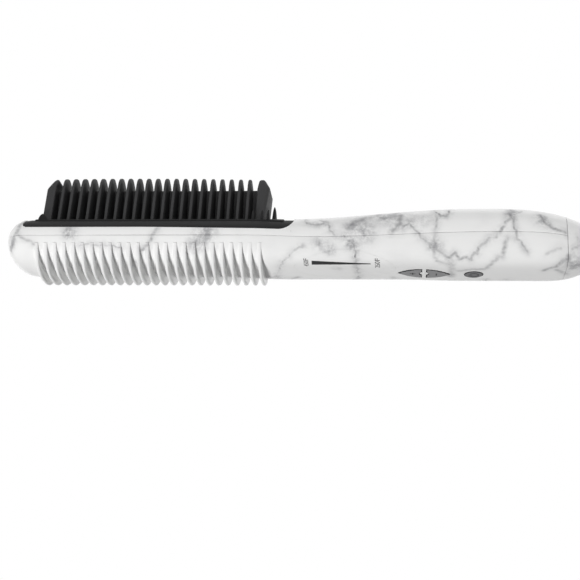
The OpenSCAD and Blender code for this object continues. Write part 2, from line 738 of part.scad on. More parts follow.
module slip_rings() place() color(brass) for (x = ring_x) difference() {
    rod_x(x, x + ring_l, ring_r);
    rod_x(x - 1, x + ring_l + 1, barrel_r);
}
shelf_rise = 0.45;
shelf_t = 1;
shelf_z = back_z(cap_x + web_l, sleeve_in) + shelf_rise;
shelf_top = shelf_z + shelf_t;
brush_top = -ring_r - 0.1;
brush_l = ring_l - 0.4;
leg_y = 5;
leg_t = 0.5;
module contact_brushes() place() color(brass) for (x = ring_x) translate([x + 0.2, 0, 0]) {
    slab(0, brush_l, leg_y, brush_top - leg_t, brush_top);
    both_sides() box(0, brush_l, leg_y - leg_t, leg_y, shelf_top, brush_top);
}
mains_y = leg_y + 0.05 + lead_r;
mains_z = shelf_top + 0.2 + lead_r;
module swivel_bracket() place() color(resin_black) difference() {
    union() {
        tail_body(wall + bracket_gap, bracket_x, bracket_x + bracket_t, 1);
        slab(bracket_x + bracket_t - 0.5, ring_x[1] + ring_l + 1, leg_y + 1, shelf_z, shelf_top);
    }
    rod_x(bracket_x - 1, bracket_x + bracket_t + 1, pin_r + fit);
    for (y = [-mains_y, mains_y])
        rod_x(bracket_x - 1, bracket_x + bracket_t + 1, lead_r + 0.2, y, mains_z);
}
// Each lead drops between the board's end and the bracket
module mains_leads() place() color("#7a4a2a") for (i = [0, 1]) {
    side = i == 0 ? 1 : -1;
    wire([[block_x1 - 3, side*pole_y, pole_z],
        [mix(board_x1, bracket_x, 0.25), side*pole_y, pole_z],
        [mix(board_x1, bracket_x, 0.75), side*mains_y, mains_z],
        [ring_x[i] + ring_l/2, side*mains_y, mains_z]], lead_r);
}

back_shell();
front_shell();
end_cap();
scale_window();
comb_cover();
guard_frame();
heated_comb();
heater_plates();
heater_insulation();
heater_clamp();
comb_carrier();
comb_screws();
shell_screws();
thermal_fuse();
temperature_sensor();
heater_leads();
control_board();
board_screws();
film_capacitor();
power_triac();
control_chip();
terminal_block();
indicator_leds();
light_diffuser();
indicator_lens();
tactile_switches();
hotter_button();
cooler_button();
power_button();
swivel_gland();
slip_rings();
contact_brushes();
swivel_bracket();
mains_leads();
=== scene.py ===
import json
from functools import lru_cache
from math import acos, asin, atan, cos, hypot, pi, radians, sin, sqrt

import bmesh
import bpy
import numpy as np
from mathutils import Euler, Matrix, Vector, noise


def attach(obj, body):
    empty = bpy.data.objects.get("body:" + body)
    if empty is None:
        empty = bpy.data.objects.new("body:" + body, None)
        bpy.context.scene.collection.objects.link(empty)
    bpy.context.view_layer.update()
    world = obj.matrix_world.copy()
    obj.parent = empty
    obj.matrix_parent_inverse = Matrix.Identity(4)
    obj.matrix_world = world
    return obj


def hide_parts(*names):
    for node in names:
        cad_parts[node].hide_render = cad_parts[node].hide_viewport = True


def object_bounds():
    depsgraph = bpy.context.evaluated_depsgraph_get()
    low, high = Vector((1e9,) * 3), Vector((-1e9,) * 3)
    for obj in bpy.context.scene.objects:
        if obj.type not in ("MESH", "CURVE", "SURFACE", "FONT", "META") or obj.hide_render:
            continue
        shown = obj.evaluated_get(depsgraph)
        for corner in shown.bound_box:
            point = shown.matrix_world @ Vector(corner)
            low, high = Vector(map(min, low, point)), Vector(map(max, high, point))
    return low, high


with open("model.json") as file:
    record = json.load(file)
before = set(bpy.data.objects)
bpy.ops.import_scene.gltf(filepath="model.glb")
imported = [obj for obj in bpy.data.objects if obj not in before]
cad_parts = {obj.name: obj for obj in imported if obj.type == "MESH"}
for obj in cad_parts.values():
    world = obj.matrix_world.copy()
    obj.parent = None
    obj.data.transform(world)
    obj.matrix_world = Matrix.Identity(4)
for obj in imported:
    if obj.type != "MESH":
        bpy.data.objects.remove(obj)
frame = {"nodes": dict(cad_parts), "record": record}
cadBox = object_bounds()
scene = bpy.context.scene
print("frame loaded:", len(frame["nodes"]), "nodes")

# Sizes are in millimetres. Pieces are drawn from the nose tip and the head's seam.
seamLift = 16.8

body = {"length": 285.0, "headEnd": 139.0, "capStart": 267.0, "capEnd": 282.5, "noseLength": 13.2,
        "seamRise": 2.4, "wall": 2.0, "roundPower": 2.4}
# sizes of the head and of the grip, and where along the body each changes to the other
sizes = {"width": (39.0, 34.4), "top": (13.0, 18.5), "back": (12.0, 12.8), "corner": (2.4, 4.3)}
change = {"width": (118, 150), "top": (134, 222), "back": (187, 219), "corner": (106, 150),
          "seamUp": (150, 232), "seamDown": (243, 285)}
# points along a curve: curls, lens arcs, the dot's bite, ovals, circles, arches, fins, corners
fine = {"curl": 8, "lens": 22, "bite": 10, "oval": 96, "circle": 64, "arch": 40, "fin": 20,
        "corner": 4, "edge": 5, "blade": 24, "ribTop": 8}
# how each outline closes: its power at the nose, and its length and power at the far end
closing = {"side": (3, 30, 2), "top": (2, 49, 2), "back": (2.3, 23, 2)}


def toFrame(x, y, z):
    return Vector((cadBox[0].x + x/1000, y/1000, cadBox[0].z + (seamLift + z)/1000))


def mix(a, b, t):
    return a + (b - a)*t


def ease(a, b, x):
    t = min(1, max(0, (x - a)/(b - a)))
    return t*t*(3 - 2*t)


def spread(a, b, count):
    return [mix(a, b, i/count) for i in range(count + 1)]


def steps(a, b, size):
    return spread(a, b, max(1, round(abs(b - a)/size)))


def quarterRound(radius, count):
    # a rounded edge: how far each point lies back from the end and in from the side
    turns = [pi/2*i/count for i in range(count + 1)]
    return [(radius*(1 - sin(t)), radius*(1 - cos(t))) for t in turns]


def polar(radius, angle):
    return radius*cos(angle), radius*sin(angle)


def domed(share, least, power):
    # how far a plate still reaches at a share of its height, with a rounded top
    return sqrt(max(least, 1 - share**power))


def signed(value, power):
    return (1 if value > 0 else -1)*abs(value)**power


def roundEnd(s, reach, power):
    return 1 if s >= reach else (1 - (1 - max(s, 0)/reach)**power)**(1/power)


def closed(name, size, x, sink):
    nosePower, endLength, endPower = closing[name]
    return ((size - sink)*roundEnd(x - sink, body["noseLength"] - sink, nosePower)
            * roundEnd(body["length"] - sink - x, endLength - sink, endPower))


def seamAt(x):
    return body["seamRise"]*(ease(*change["seamUp"], x) - ease(*change["seamDown"], x))


def sizeAt(name, x):
    return mix(*sizes[name], ease(*change[name], x))


def halfWidth(x, sink=0):
    return closed("side", sizeAt("width", x)/2, x, sink)


def topAt(x, sink=0):
    return closed("top", sizeAt("top", x), x, sink)


def backAt(x, sink=0):
    return -closed("back", sizeAt("back", x), x, sink)


def backPower(x):
    return sizeAt("corner", x)


def skinPoint(x, angle, sink=0.0):
    # a point of the body's outline: 0 and 180 degrees are the seams, 90 the comb side
    seam, up = seamAt(x), angle <= 180
    power = body["roundPower"] if up else backPower(x)
    c, s = cos(radians(angle)), abs(sin(radians(angle)))
    reach = (topAt(x, sink) if up else backAt(x, sink)) - seam
    return x, halfWidth(x, sink)*signed(c, 2/power), seam + reach*s**(2/power)


def angleAtHeight(x, z, sink=0):
    share = (z - seamAt(x))/(topAt(x, sink) - seamAt(x))
    return 180/pi*asin(min(1, max(0, share))**(body["roundPower"]/2))


def angleAtWidth(x, y, sink):
    return 180/pi*acos(min(1, y/halfWidth(x, sink))**(body["roundPower"]/2))


# Mesh helpers
def strip(rows):
    # quads between rows of points, open all round
    wide = len(rows[0])
    faces = [(i*wide + j, i*wide + j + 1, (i + 1)*wide + j + 1, (i + 1)*wide + j)
             for i in range(len(rows) - 1) for j in range(wide - 1)]
    return [p for row in rows for p in row], faces


def loft(rings, ends="cap"):
    # a closed body through rings of points; ends are capped, or joined to each other
    count = len(rings[0])
    pairs = [(i, i + 1) for i in range(len(rings) - 1)]
    if ends == "join":
        pairs.append((len(rings) - 1, 0))
    faces = [(a*count + j, a*count + (j + 1) % count, b*count + (j + 1) % count, b*count + j)
             for a, b in pairs for j in range(count)]
    if ends == "cap":
        faces.append(tuple(range(count))[::-1])
        faces.append(tuple((len(rings) - 1)*count + j for j in range(count)))
    return [p for ring in rings for p in ring], faces


def joined(parts):
    points, faces = [], []
    for partPoints, partFaces in parts:
        start = len(points)
        points += partPoints
        faces += [tuple(start + i for i in face) for face in partFaces]
    return points, faces


def shade(mesh, crease=35):
    mesh.shade_smooth()
    mesh.set_sharp_from_angle(angle=radians(crease))


def addObject(name, data):
    made = bpy.data.objects.new(name, data)
    scene.collection.objects.link(made)
    return made


def makePiece(name, shape, material, weld=0.002):
    points, faces = shape
    mesh = bpy.data.meshes.new(name)
    mesh.from_pydata([toFrame(*p) for p in points], [], faces)
    work = bmesh.new()
    work.from_mesh(mesh)
    if weld:
        bmesh.ops.remove_doubles(work, verts=work.verts, dist=weld/1000)
    bmesh.ops.recalc_face_normals(work, faces=work.faces)
    work.to_mesh(mesh)
    work.free()
    mesh.materials.append(material)
    shade(mesh)
    return addObject(name, mesh)


def meshOf(thing):
    graph = bpy.context.evaluated_depsgraph_get()
    return bpy.data.meshes.new_from_object(thing.evaluated_get(graph))


def settle(piece):
    # turns what the modifiers make into the piece's own plain mesh
    mesh, old = meshOf(piece), piece.data
    piece.modifiers.clear()
    piece.data = mesh
    bpy.data.meshes.remove(old)
    shade(mesh)


def thicken(piece, wall):
    solid = piece.modifiers.new("wall", "SOLIDIFY")
    solid.thickness, solid.offset = wall/1000, -1


def roundEdges(piece, width, segments=2, angle=40):
    bevel = piece.modifiers.new("edges", "BEVEL")
    bevel.width, bevel.segments = width/1000, segments
    bevel.limit_method, bevel.angle_limit = "ANGLE", radians(angle)
    bevel.use_clamp_overlap = False


def cutWith(piece, cutter, operation="DIFFERENCE"):
    cut = piece.modifiers.new("cut", "BOOLEAN")
    cut.operation, cut.object, cut.solver = operation, cutter, "MANIFOLD"
    cut.material_mode = "TRANSFER"
    settle(piece)
    bpy.data.objects.remove(cutter)


def handOver(piece, bodyName, nodeName=None):
    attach(piece, bodyName)
    if nodeName:
        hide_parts(nodeName)


def prism(outline, low, high):
    # an outline drawn in X and Y, made solid between two heights
    return loft([[(x, y, low) for x, y in outline], [(x, y, high) for x, y in outline]])


# Finishes
def newFinish(name, color, roughness, metallic=0.0, coat=0.0, specular=0.5):
    material = bpy.data.materials.new(name)
    material.use_nodes = True
    tree = material.node_tree
    shader = tree.nodes["Principled BSDF"]
    shader.inputs["Base Color"].default_value = (*color, 1)
    shader.inputs["Roughness"].default_value = roughness
    shader.inputs["Metallic"].default_value = metallic
    shader.inputs["Specular IOR Level"].default_value = specular
    shader.inputs["Coat Weight"].default_value = coat
    shader.inputs["Coat Roughness"].default_value = 0.06
    place = tree.nodes.new("ShaderNodeTexCoord")
    return material, tree, shader, place.outputs["Object"]


def node(tree, kind, settings=None, **inputs):
    made = tree.nodes.new(kind)
    for key, value in (settings or {}).items():
        setattr(made, key, value)
    for key, value in inputs.items():
        socket = made.inputs[int(key[1:])] if key[0] == "i" and key[1:].isdigit() \
            else made.inputs[key.replace("_", " ")]
        if isinstance(value, bpy.types.NodeSocket):
            tree.links.new(value, socket)
        else:
            socket.default_value = value
    return made


def maths(tree, operation, a, b=0.0, clamp=False):
    return node(tree, "ShaderNodeMath", {"operation": operation, "use_clamp": clamp},
                i0=a, i1=b).outputs[0]


def remap(tree, value, fromLow, fromHigh, toLow, toHigh, kind="LINEAR"):
    return node(tree, "ShaderNodeMapRange", {"interpolation_type": kind}, Value=value,
                i1=fromLow, i2=fromHigh, i3=toLow, i4=toHigh).outputs[0]


def grainy(tree, place, scale, detail, roughness=0.5):
    return node(tree, "ShaderNodeTexNoise", Vector=place, Scale=scale, Detail=detail,
                Roughness=roughness).outputs[0]


def blend(tree, share, first, second):
    return node(tree, "ShaderNodeMix", {"data_type": "RGBA"}, i0=share, i6=first, i7=second).outputs[2]


def addBump(tree, shader, height, strength, depth):
    bump = node(tree, "ShaderNodeBump", Strength=strength, Distance=depth, Height=height)
    tree.links.new(bump.outputs[0], shader.inputs["Normal"])


def moulded(name, color, roughness, grain=3000.0, depth=0.00002, cloudy=0.08, metallic=0.0,
            coat=0.0, specular=0.5):
    # moulded or machined stuff: faint clouds of tone, uneven polish and a fine grain
    material, tree, shader, place = newFinish(name, color, roughness, metallic, coat, specular)
    clouds = grainy(tree, place, 120.0, 4.0)
    dark = tuple(c*(1 - cloudy) for c in color)
    light = tuple(min(1, c*(1 + cloudy)) for c in color)
    tree.links.new(blend(tree, clouds, (*dark, 1), (*light, 1)), shader.inputs["Base Color"])
    polish = remap(tree, clouds, 0.0, 1.0, roughness*0.88, roughness*1.12)
    tree.links.new(polish, shader.inputs["Roughness"])
    addBump(tree, shader, grainy(tree, place, grain, 2.0), 0.5, depth)
    return material


# Tones; scale, detail and roughness of each noise; and ranges, from which to which share
marbleLook = {"white": (0.84, 0.84, 0.835, 1), "smoke": (0.36, 0.36, 0.37, 1),
              "vein": (0.11, 0.11, 0.12, 1), "roughness": 0.3, "coat": 0.4,
              "warp": (260.0, 6.0, 0.7), "shift": 3.0, "core": (-0.3, 1.8, 1.0, 0.0),
              "breaks": (420.0, 3.0, 0.5), "fade": (0.35, 0.65, 0.5, 1.6),
              "clouds": (55.0, 5.0, 0.55), "haze": (0.46, 0.75, 0.0, 0.10),
              "patch": (0.36, 0.66, 0.1, 1.35), "ripple": (900.0, 2.0, 0.5), "bump": 0.15}


def marbleFinish():
    # printed marble under a gloss coat: drawn veins with smoky borders over faint clouds
    m = marbleLook
    material, tree, shader, place = newFinish("marbleShell", m["white"][:3], m["roughness"],
                                              coat=m["coat"])
    gap, tone, smoke = (node(tree, "ShaderNodeAttribute", {"attribute_name": name}).outputs["Fac"]
                        for name in ("veinGap", "veinTone", "smoke"))
    warp = grainy(tree, place, *m["warp"])
    shift = maths(tree, "MULTIPLY", maths(tree, "SUBTRACT", warp, 0.5), m["shift"])
    core = remap(tree, maths(tree, "ADD", gap, shift), *m["core"], "SMOOTHSTEP")
    fade = remap(tree, grainy(tree, place, *m["breaks"]), *m["fade"])
    haze = remap(tree, grainy(tree, place, *m["clouds"]), *m["haze"], "SMOOTHSTEP")
    patch = maths(tree, "MULTIPLY", smoke, remap(tree, warp, *m["patch"]))
    smoky = blend(tree, maths(tree, "ADD", haze, patch, clamp=True), m["white"], m["smoke"])
    drawn = maths(tree, "MULTIPLY", maths(tree, "MULTIPLY", core, tone), fade, clamp=True)
    tree.links.new(blend(tree, drawn, smoky, m["vein"]), shader.inputs["Base Color"])
    addBump(tree, shader, grainy(tree, place, *m["ripple"]), m["bump"], 0.00002)
    return material


marble = marbleFinish()
coating = moulded("combCoating", (0.033, 0.033, 0.034), 0.6, grain=7000, cloudy=0.12, specular=0.3)
nylon = moulded("blackNylon", (0.016, 0.016, 0.0165), 0.55, grain=5000, cloudy=0.12, specular=0.15)
rubberGrey = moulded("buttonGrey", (0.24, 0.24, 0.245), 0.5, grain=6000, specular=0.3)
rubberDark = moulded("powerGrey", (0.13, 0.13, 0.135), 0.45, grain=6000, specular=0.4)
# black ink of the printed signs and scale, also used as painted shade on the button pads' rims
ink = moulded("blackInkAndGapShade", (0.016, 0.016, 0.017), 0.5, grain=9000, specular=0.3)
innerFinishes = {
    "heater_ceramic": moulded("sinteredCeramic", (0.68, 0.64, 0.55), 0.8, depth=0.00004),
    "insulation_film": moulded("amberFilm", (0.42, 0.25, 0.05), 0.35, grain=2500, cloudy=0.15),
    "steel": moulded("screwSteel", (0.55, 0.56, 0.58), 0.32, grain=6000, metallic=1.0),
    "hot_side_resin": moulded("filledResin", (0.02, 0.02, 0.021), 0.6, grain=2500, depth=0.00004),
    "fuse_case": moulded("fuseCase", (0.62, 0.62, 0.63), 0.3, grain=5000, metallic=1.0),
    "sensor_bead": moulded("dippedBead", (0.24, 0.03, 0.015), 0.3, grain=2000, coat=0.4),
    "white_silicone": moulded("whiteSilicone", (0.75, 0.73, 0.69), 0.6),
    "board_laminate": moulded("solderMask", (0.012, 0.09, 0.035), 0.35, grain=3500, cloudy=0.2),
    "capacitor_case": moulded("capacitorCase", (0.34, 0.035, 0.018), 0.4),
    "black_component": moulded("componentBlack", (0.018, 0.018, 0.02), 0.55, grain=4000),
    "terminal_blue": moulded("terminalBlue", (0.03, 0.11, 0.32), 0.5),
    "lamp_resin": moulded("lampResin", (0.9, 0.84, 0.56), 0.3),
    "clear_resin": moulded("frostedResin", (0.84, 0.85, 0.85), 0.35, grain=4000, cloudy=0.03),
    "brass": moulded("sheetBrass", (0.62, 0.42, 0.14), 0.3, grain=5000, metallic=1.0),
    "brown_lead": moulded("brownLead", (0.13, 0.05, 0.018), 0.55),
    "black_nylon": nylon, "marble_shell": marble}
print("finishes made")

# Shells
cover = {"start": 9.1, "end": 139.5, "low": 4.55, "drop": 0.9, "dropFrom": 0.4, "noseRadius": 2.6,
         "neckRadius": 7.5, "gap": 0.1, "sink": 0.6, "wall": 2.0, "edge": 0.25, "step": 1.5,
         "side": 10, "top": 40}
shell = {"side": 32, "top": 36, "around": 96, "edge": 0.16, "gap": 0.12, "openGap": 0.1,
         "opens": (40, 60), "closes": (100, 118), "capGap": 0.14, "tip": 24, "frontTip": 20,
         "frontStep": 0.8, "backStep": 0.9, "gripStep": 0.55}


def coverEdge(x, gap=0):
    # height of the cover's lower edge, which falls towards the neck and curls up at both ends
    first, last = cover["start"] - gap, cover["end"] + gap
    fall = ease(mix(first, last, cover["dropFrom"]), last - cover["neckRadius"], x)
    low = cover["low"] - gap - cover["drop"]*fall
    for radius, far in ((cover["noseRadius"], first + cover["noseRadius"] - x),
                        (cover["neckRadius"], x - last + cover["neckRadius"])):
        if far > 0:
            return low + radius - sqrt(max(0, radius**2 - far**2))
    return low


def edgeStations(gap, size):
    first, last = cover["start"] - gap, cover["end"] + gap
    nose, neck = cover["noseRadius"], cover["neckRadius"]
    curl = [1 - cos(t) for t in spread(0, pi/2, fine["curl"])[:-1]]
    return ([first + nose*c for c in curl] + steps(first + nose, last - neck, size)
            + [last - neck*c for c in curl[::-1]])


def openShell(nose, middle, neck, angles, count, sink=0):
    # rows from seam to seam before and after an opening, and a strip up to it on each side
    def across(x):
        side = angles(x)
        return side + spread(side[-1], 180 - side[-1], count)[1:-1] + [180 - a for a in side[::-1]]

    def rows(stations, anglesAt):
        return strip([[skinPoint(x, a, sink) for a in anglesAt(x)] for x in stations])

    return joined([rows(nose, across), rows(middle, angles),
                   rows(middle, lambda x: [180 - a for a in angles(x)]), rows(neck, across)])


def frontShape():
    gap, tipRows = cover["gap"], shell["frontTip"]
    first, last = cover["start"] - gap, cover["end"] + gap

    def angles(x):
        at = min(last, max(first, x))
        opened = ease(*shell["opens"], x) - ease(*shell["closes"], x)
        seam = angleAtHeight(at, seamAt(at) + (shell["gap"] + shell["openGap"]*opened))
        return spread(seam, angleAtHeight(at, coverEdge(at, gap)), shell["side"])

    nose = [first*(i/tipRows)**2 for i in range(tipRows + 1)]
    grip = steps(last, body["capStart"], shell["gripStep"])
    return openShell(nose, edgeStations(gap, shell["frontStep"]), grip, angles, shell["top"])


def backShape(start, end):
    nose, split, count = body["noseLength"], body["headEnd"], shell["tip"]
    stations = [nose*(1 - cos(pi/2*i/count)) for i in range(count)] if start == 0 else []
    if start < split:
        stations += steps(max(start, nose), min(split, end), shell["backStep"])
    if end > split:
        stations += steps(split, end, shell["gripStep"])[1:]
    return strip([[skinPoint(x, a) for a in spread(180, 360, shell["around"])] for x in stations])


frontShell = makePiece("frontShell", frontShape(), marble)
backShell = makePiece("backShell", backShape(0, body["capStart"]), marble)
for piece in (frontShell, backShell):
    thicken(piece, body["wall"])
    roundEdges(piece, shell["edge"])
    settle(piece)

# Buttons and the openings round them
buttons = {"pairX": 201.0, "length": 24.1, "width": 11.6, "bar": 1.9, "dot": 2.0, "gap": 0.3,
           "powerX": 224.4, "powerWidth": 8.6, "proud": 0.3, "edge": 0.4, "deep": -9.2,
           "rings": 8, "dotHole": 1.15, "cut": (-20, -8), "middle": 5.6, "flat": 0.86}


def halfLens(side, grow):
    # outline of one temperature button: two arcs to a point, with a bite for the dot
    long, wide = buttons["length"]/2 + 2*grow, buttons["width"]/2 + grow
    radius = (long**2 + wide**2)/(2*wide)
    inner = buttons["bar"]/2 + buttons["gap"] - grow
    bite = buttons["dot"] + buttons["gap"] - grow
    arc = [mix(inner, long, 1 - (1 - k)**2) for k in spread(0, 1, fine["lens"])]
    upper = [(x, sqrt(radius**2 - x**2) - radius + wide) for x in arc]
    turn = acos(inner/bite)
    hollow = [polar(bite, t) for t in spread(-turn, turn, fine["bite"])]
    outline = upper[:-1] + [(long, 0)] + [(x, -y) for x, y in upper[-2::-1]] + hollow
    return [(buttons["pairX"] + side*x, y) for x, y in outline]


def circle(x, radius, count=fine["circle"]):
    return [(x + radius*cos(2*pi*i/count), radius*sin(2*pi*i/count)) for i in range(count)]


for outline in (halfLens(-1, buttons["gap"]), halfLens(1, buttons["gap"]),
                circle(buttons["powerX"], buttons["powerWidth"]/2 + buttons["gap"]),
                circle(buttons["pairX"], buttons["dotHole"])):
    cutWith(backShell, makePiece("opening", prism(outline, *buttons["cut"]), ink))

# Oval window of the temperature scale
window = {"x": 163.5, "halfLength": 24.0, "halfWidth": 11.6, "tilt": 30.0, "gap": 0.05,
          "deep": 30, "from": 137, "to": 190}


def windowPrism(gap):
    tilt = radians(window["tilt"])
    long, wide = window["halfLength"] - gap, window["halfWidth"] - gap
    return loft([[(window["x"] + x*long, y*wide*cos(tilt) - depth*sin(tilt),
                   -y*wide*sin(tilt) - depth*cos(tilt)) for x, y in circle(0, 1, fine["oval"])]
                 for depth in (0, window["deep"])])


cutWith(backShell, makePiece("opening", windowPrism(0), marble))
scaleWindow = makePiece("scaleWindow", backShape(window["from"], window["to"]), marble)
thicken(scaleWindow, body["wall"])
settle(scaleWindow)
cutWith(scaleWindow, makePiece("oval", windowPrism(window["gap"]), marble), "INTERSECT")

# Cap at the end of the grip, with its sleeve inside the shells
cap = {"sleeve": 8.0, "sleeveWall": 1.5, "sleeveGap": 0.3, "sleeveEnd": 1.5, "endWall": 4.3,
       "hole": 5.16, "bevel": 0.3, "rim": 0.45, "around": 128, "edge": 0.14, "lip": 0.9,
       "sleeveStep": 2, "skinStep": 0.5, "insideStep": 3.5}


def capShape():
    start, end, wall = body["capStart"], body["capEnd"], body["wall"]
    outer, inner = wall + cap["sleeveGap"], wall + cap["sleeveGap"] + cap["sleeveWall"]
    turns = [360*i/cap["around"] for i in range(cap["around"])]
    edge, inside = cap["edge"], start + cap["sleeveEnd"]

    def ring(x, sink):
        return [skinPoint(x, a, sink) for a in turns]

    def bore(x, grow=0.0):
        return [(x, *polar(cap["hole"] + grow, radians(a))) for a in turns]

    def lipRing(x, sink):
        # the rounded end, kept outside the rim of the hole
        points = ring(x, sink)
        out = [max(1, (cap["hole"] + cap["rim"])/hypot(y, z)) for x, y, z in points]
        return [(x, y*k, z*k) for (x, y, z), k in zip(points, out)]

    first = start + shell["capGap"]
    rings = [ring(x, outer) for x in steps(start - cap["sleeve"], first, cap["sleeveStep"])]
    rings += [ring(first, edge), ring(first + edge*0.3, edge*0.3)]
    rings += [ring(x, 0) for x in steps(first + edge, end - cap["lip"], cap["skinStep"])]
    rings += [lipRing(end - back, sunk) for back, sunk in quarterRound(cap["lip"], fine["edge"])[1:]]
    rings += [bore(end, cap["bevel"]), bore(end - cap["bevel"]), bore(end - cap["endWall"])]
    rings += [ring(x, wall) for x in steps(end - cap["endWall"], inside, cap["insideStep"])]
    rings += [ring(x, inner) for x in (inside, start - cap["sleeve"])]
    return loft(rings, "join")


endCap = makePiece("endCap", capShape(), marble, weld=0)
print("shells made")

# Black cover round the comb
frameRing = {"noseX": 14.0, "neckX": 134.2, "halfWidth": 14.3, "gap": 0.2, "floor": 7.3,
             "sink": 0.1, "slotNose": 16.75, "slotNeck": 126.95, "slotHalf": 13.05, "edge": 0.15,
             "step": 2, "cut": (0, 30)}


def coverShape():
    sink, gap = cover["sink"], frameRing["gap"]
    first, last = frameRing["noseX"] - gap, frameRing["neckX"] + gap

    def angles(x):
        low = angleAtHeight(x, coverEdge(x), sink)
        at = min(last, max(first, x))
        foot = angleAtHeight(at, coverEdge(at), sink)
        share = (angleAtWidth(at, frameRing["halfWidth"] + gap, sink) - foot)/(90 - foot)
        return spread(low, mix(low, 90, share), cover["side"])

    stations = edgeStations(0, cover["step"])
    nose = [x for x in stations if x < first - gap] + [first]
    neck = [last] + [x for x in stations if x > last + gap]
    middle = [first] + [x for x in stations if first + gap < x < last - gap] + [last]
    return openShell(nose, middle, neck, angles, cover["top"], sink)


combCover = makePiece("combCover", coverShape(), nylon)
thicken(combCover, cover["wall"])
roundEdges(combCover, cover["edge"])
settle(combCover)


# Frame in the cover's opening, with its guards
def frameShape():
    rings, sink, floor = [], frameRing["sink"], frameRing["floor"]
    for x in steps(frameRing["noseX"], frameRing["neckX"], frameRing["step"]):
        edge = angleAtWidth(x, frameRing["halfWidth"], sink)
        arc = [skinPoint(x, a, sink) for a in spread(edge, 180 - edge, fine["arch"])]
        rings.append(arc + [(x, arc[-1][1], floor), (x, arc[0][1], floor)])
    return loft(rings)


def slotShape():
    a, b, side = frameRing["slotNose"], frameRing["slotNeck"], frameRing["slotHalf"]
    return prism([(a, -side), (b, -side), (b, side), (a, side)], *frameRing["cut"])


guardFrame = makePiece("guardFrame", frameShape(), nylon)
cutWith(guardFrame, makePiece("slot", slotShape(), nylon))
roundEdges(guardFrame, frameRing["edge"], 2, 50)
settle(guardFrame)

guards = {"foot": 8.0, "inset": 0.1, "lean": 0.5, "corner": 0.55, "spikeHalf": (5.0, 1.4),
          "spikeBends": (0.8, 1.2), "spikeRings": 18,
          # each fin's place and top, its thickness at the foot and the top, and its rounded end
          "fins": [(17.4, 13.2, (4.6, 4.6), (0.03, 2.2)), (119.7, 14.8, (1.6, 1.1), (0.1, 8)),
                   (124.1, 14.8, (1.6, 1.1), (0.1, 8)), (127.0, 14.8, (1.6, 1.1), (0.1, 8))],
          "spike": (128.7, 21.3, (3.5, 1.3), (0.08, 10))}


def fin(x, top, thick, dome, spanAt, bend=1, count=12):
    # an upright plate with round edges; its span along Y goes by the share of its height
    corner, rings = guards["corner"], []
    for i in range(count + 1):
        share = sin(pi/2*i/count)
        half, (near, far) = mix(*thick, share**bend)*domed(share, *dome)/2, spanAt(share)
        middle, reach, z = (near + far)/2, (far - near)/2, mix(guards["foot"], top, share)
        rings.append([(x + half*signed(c, corner), middle + reach*signed(s, corner), z)
                      for c, s in circle(0, 1, fine["fin"])])
    return loft(rings)


def guardShape():
    inset, lean, (thinning, narrowing) = guards["inset"], guards["lean"], guards["spikeBends"]
    inner, outer = frameRing["slotHalf"], frameRing["halfWidth"] - inset
    parts = []
    for side in (-1, 1):
        def span(share):
            return sorted((side*(inner + inset*share), side*(outer - lean*share)))

        parts += [fin(*numbers, span) for numbers in guards["fins"]]

    def spikeSpan(share):
        half = mix(*guards["spikeHalf"], share**narrowing)
        return -half, half

    return joined(parts + [fin(*guards["spike"], spikeSpan, thinning, guards["spikeRings"])])


combGuards = makePiece("combGuards", guardShape(), nylon)
print("cover and guards made")


# Geometry Nodes: copies of a piece's own mesh in a row along X. With a crown, the copies
# grow shorter away from the tallest one, near the row's start, down to their common foot.
def rowOfCopies(piece, count, pitch, material, crown=0.0, foot=0.0, peak=0.3):
    group = bpy.data.node_groups.new(piece.name + "Row", "GeometryNodeTree")
    face = group.interface
    face.new_socket("Geometry", in_out="INPUT", socket_type="NodeSocketGeometry")
    sockets = {}
    for name, kind, value in (("Count", "Int", count), ("Pitch", "Float", pitch/1000),
                              ("Crown", "Float", crown), ("Peak", "Float", peak),
                              ("Foot", "Float", foot), ("Finish", "Material", material)):
        socket = face.new_socket(name, in_out="INPUT", socket_type="NodeSocket" + kind)
        sockets[socket.identifier] = value
    face.new_socket("Geometry", in_out="OUTPUT", socket_type="NodeSocketGeometry")
    start, end = group.nodes.new("NodeGroupInput"), group.nodes.new("NodeGroupOutput")
    given = start.outputs

    def vector(**axes):
        return node(group, "ShaderNodeCombineXYZ", **axes).outputs[0]

    line = node(group, "GeometryNodeMeshLine", Count=given["Count"],
                Offset=vector(X=given["Pitch"])).outputs["Mesh"]
    last = maths(group, "SUBTRACT", given["Count"], 1.0)
    place = maths(group, "DIVIDE", group.nodes.new("GeometryNodeInputIndex").outputs[0], last)
    side = maths(group, "DIVIDE", maths(group, "SUBTRACT", place, given["Peak"]),
                 maths(group, "SUBTRACT", 1.0, given["Peak"]))
    bend = maths(group, "POWER", maths(group, "ABSOLUTE", side), 2.0)
    drop = maths(group, "MULTIPLY", given["Crown"], bend)
    lift = vector(Z=maths(group, "MULTIPLY", drop, given["Foot"]))
    points = node(group, "GeometryNodeSetPosition", Geometry=line, Offset=lift).outputs[0]
    size = vector(X=1.0, Y=1.0, Z=maths(group, "SUBTRACT", 1.0, drop))
    copies = node(group, "GeometryNodeInstanceOnPoints", Points=points, Instance=given["Geometry"],
                  Scale=size).outputs[0]
    real = node(group, "GeometryNodeRealizeInstances", Geometry=copies).outputs[0]
    finished = node(group, "GeometryNodeSetMaterial", Geometry=real,
                    Material=given["Finish"]).outputs[0]
    group.links.new(finished, end.inputs[0])
    row = piece.modifiers.new("row", "NODES")
    row.node_group = group
    for identifier, value in sockets.items():
        row[identifier] = value
    settle(piece)
    bpy.data.node_groups.remove(group)


# Ribs round the back of the head
ribs = {"first": 17.1, "pitch": 4.45, "count": 25, "thick": 1.9, "height": 4.8, "flush": 0.2,
        "from": 10.0, "root": 1.0, "steps": 44,
        # half the section, as shares of half the thickness and of the height, and its round top
        "side": [(1, 0), (1, 0.3), (0.96, 0.62)], "top": (0.92, 0.2)}


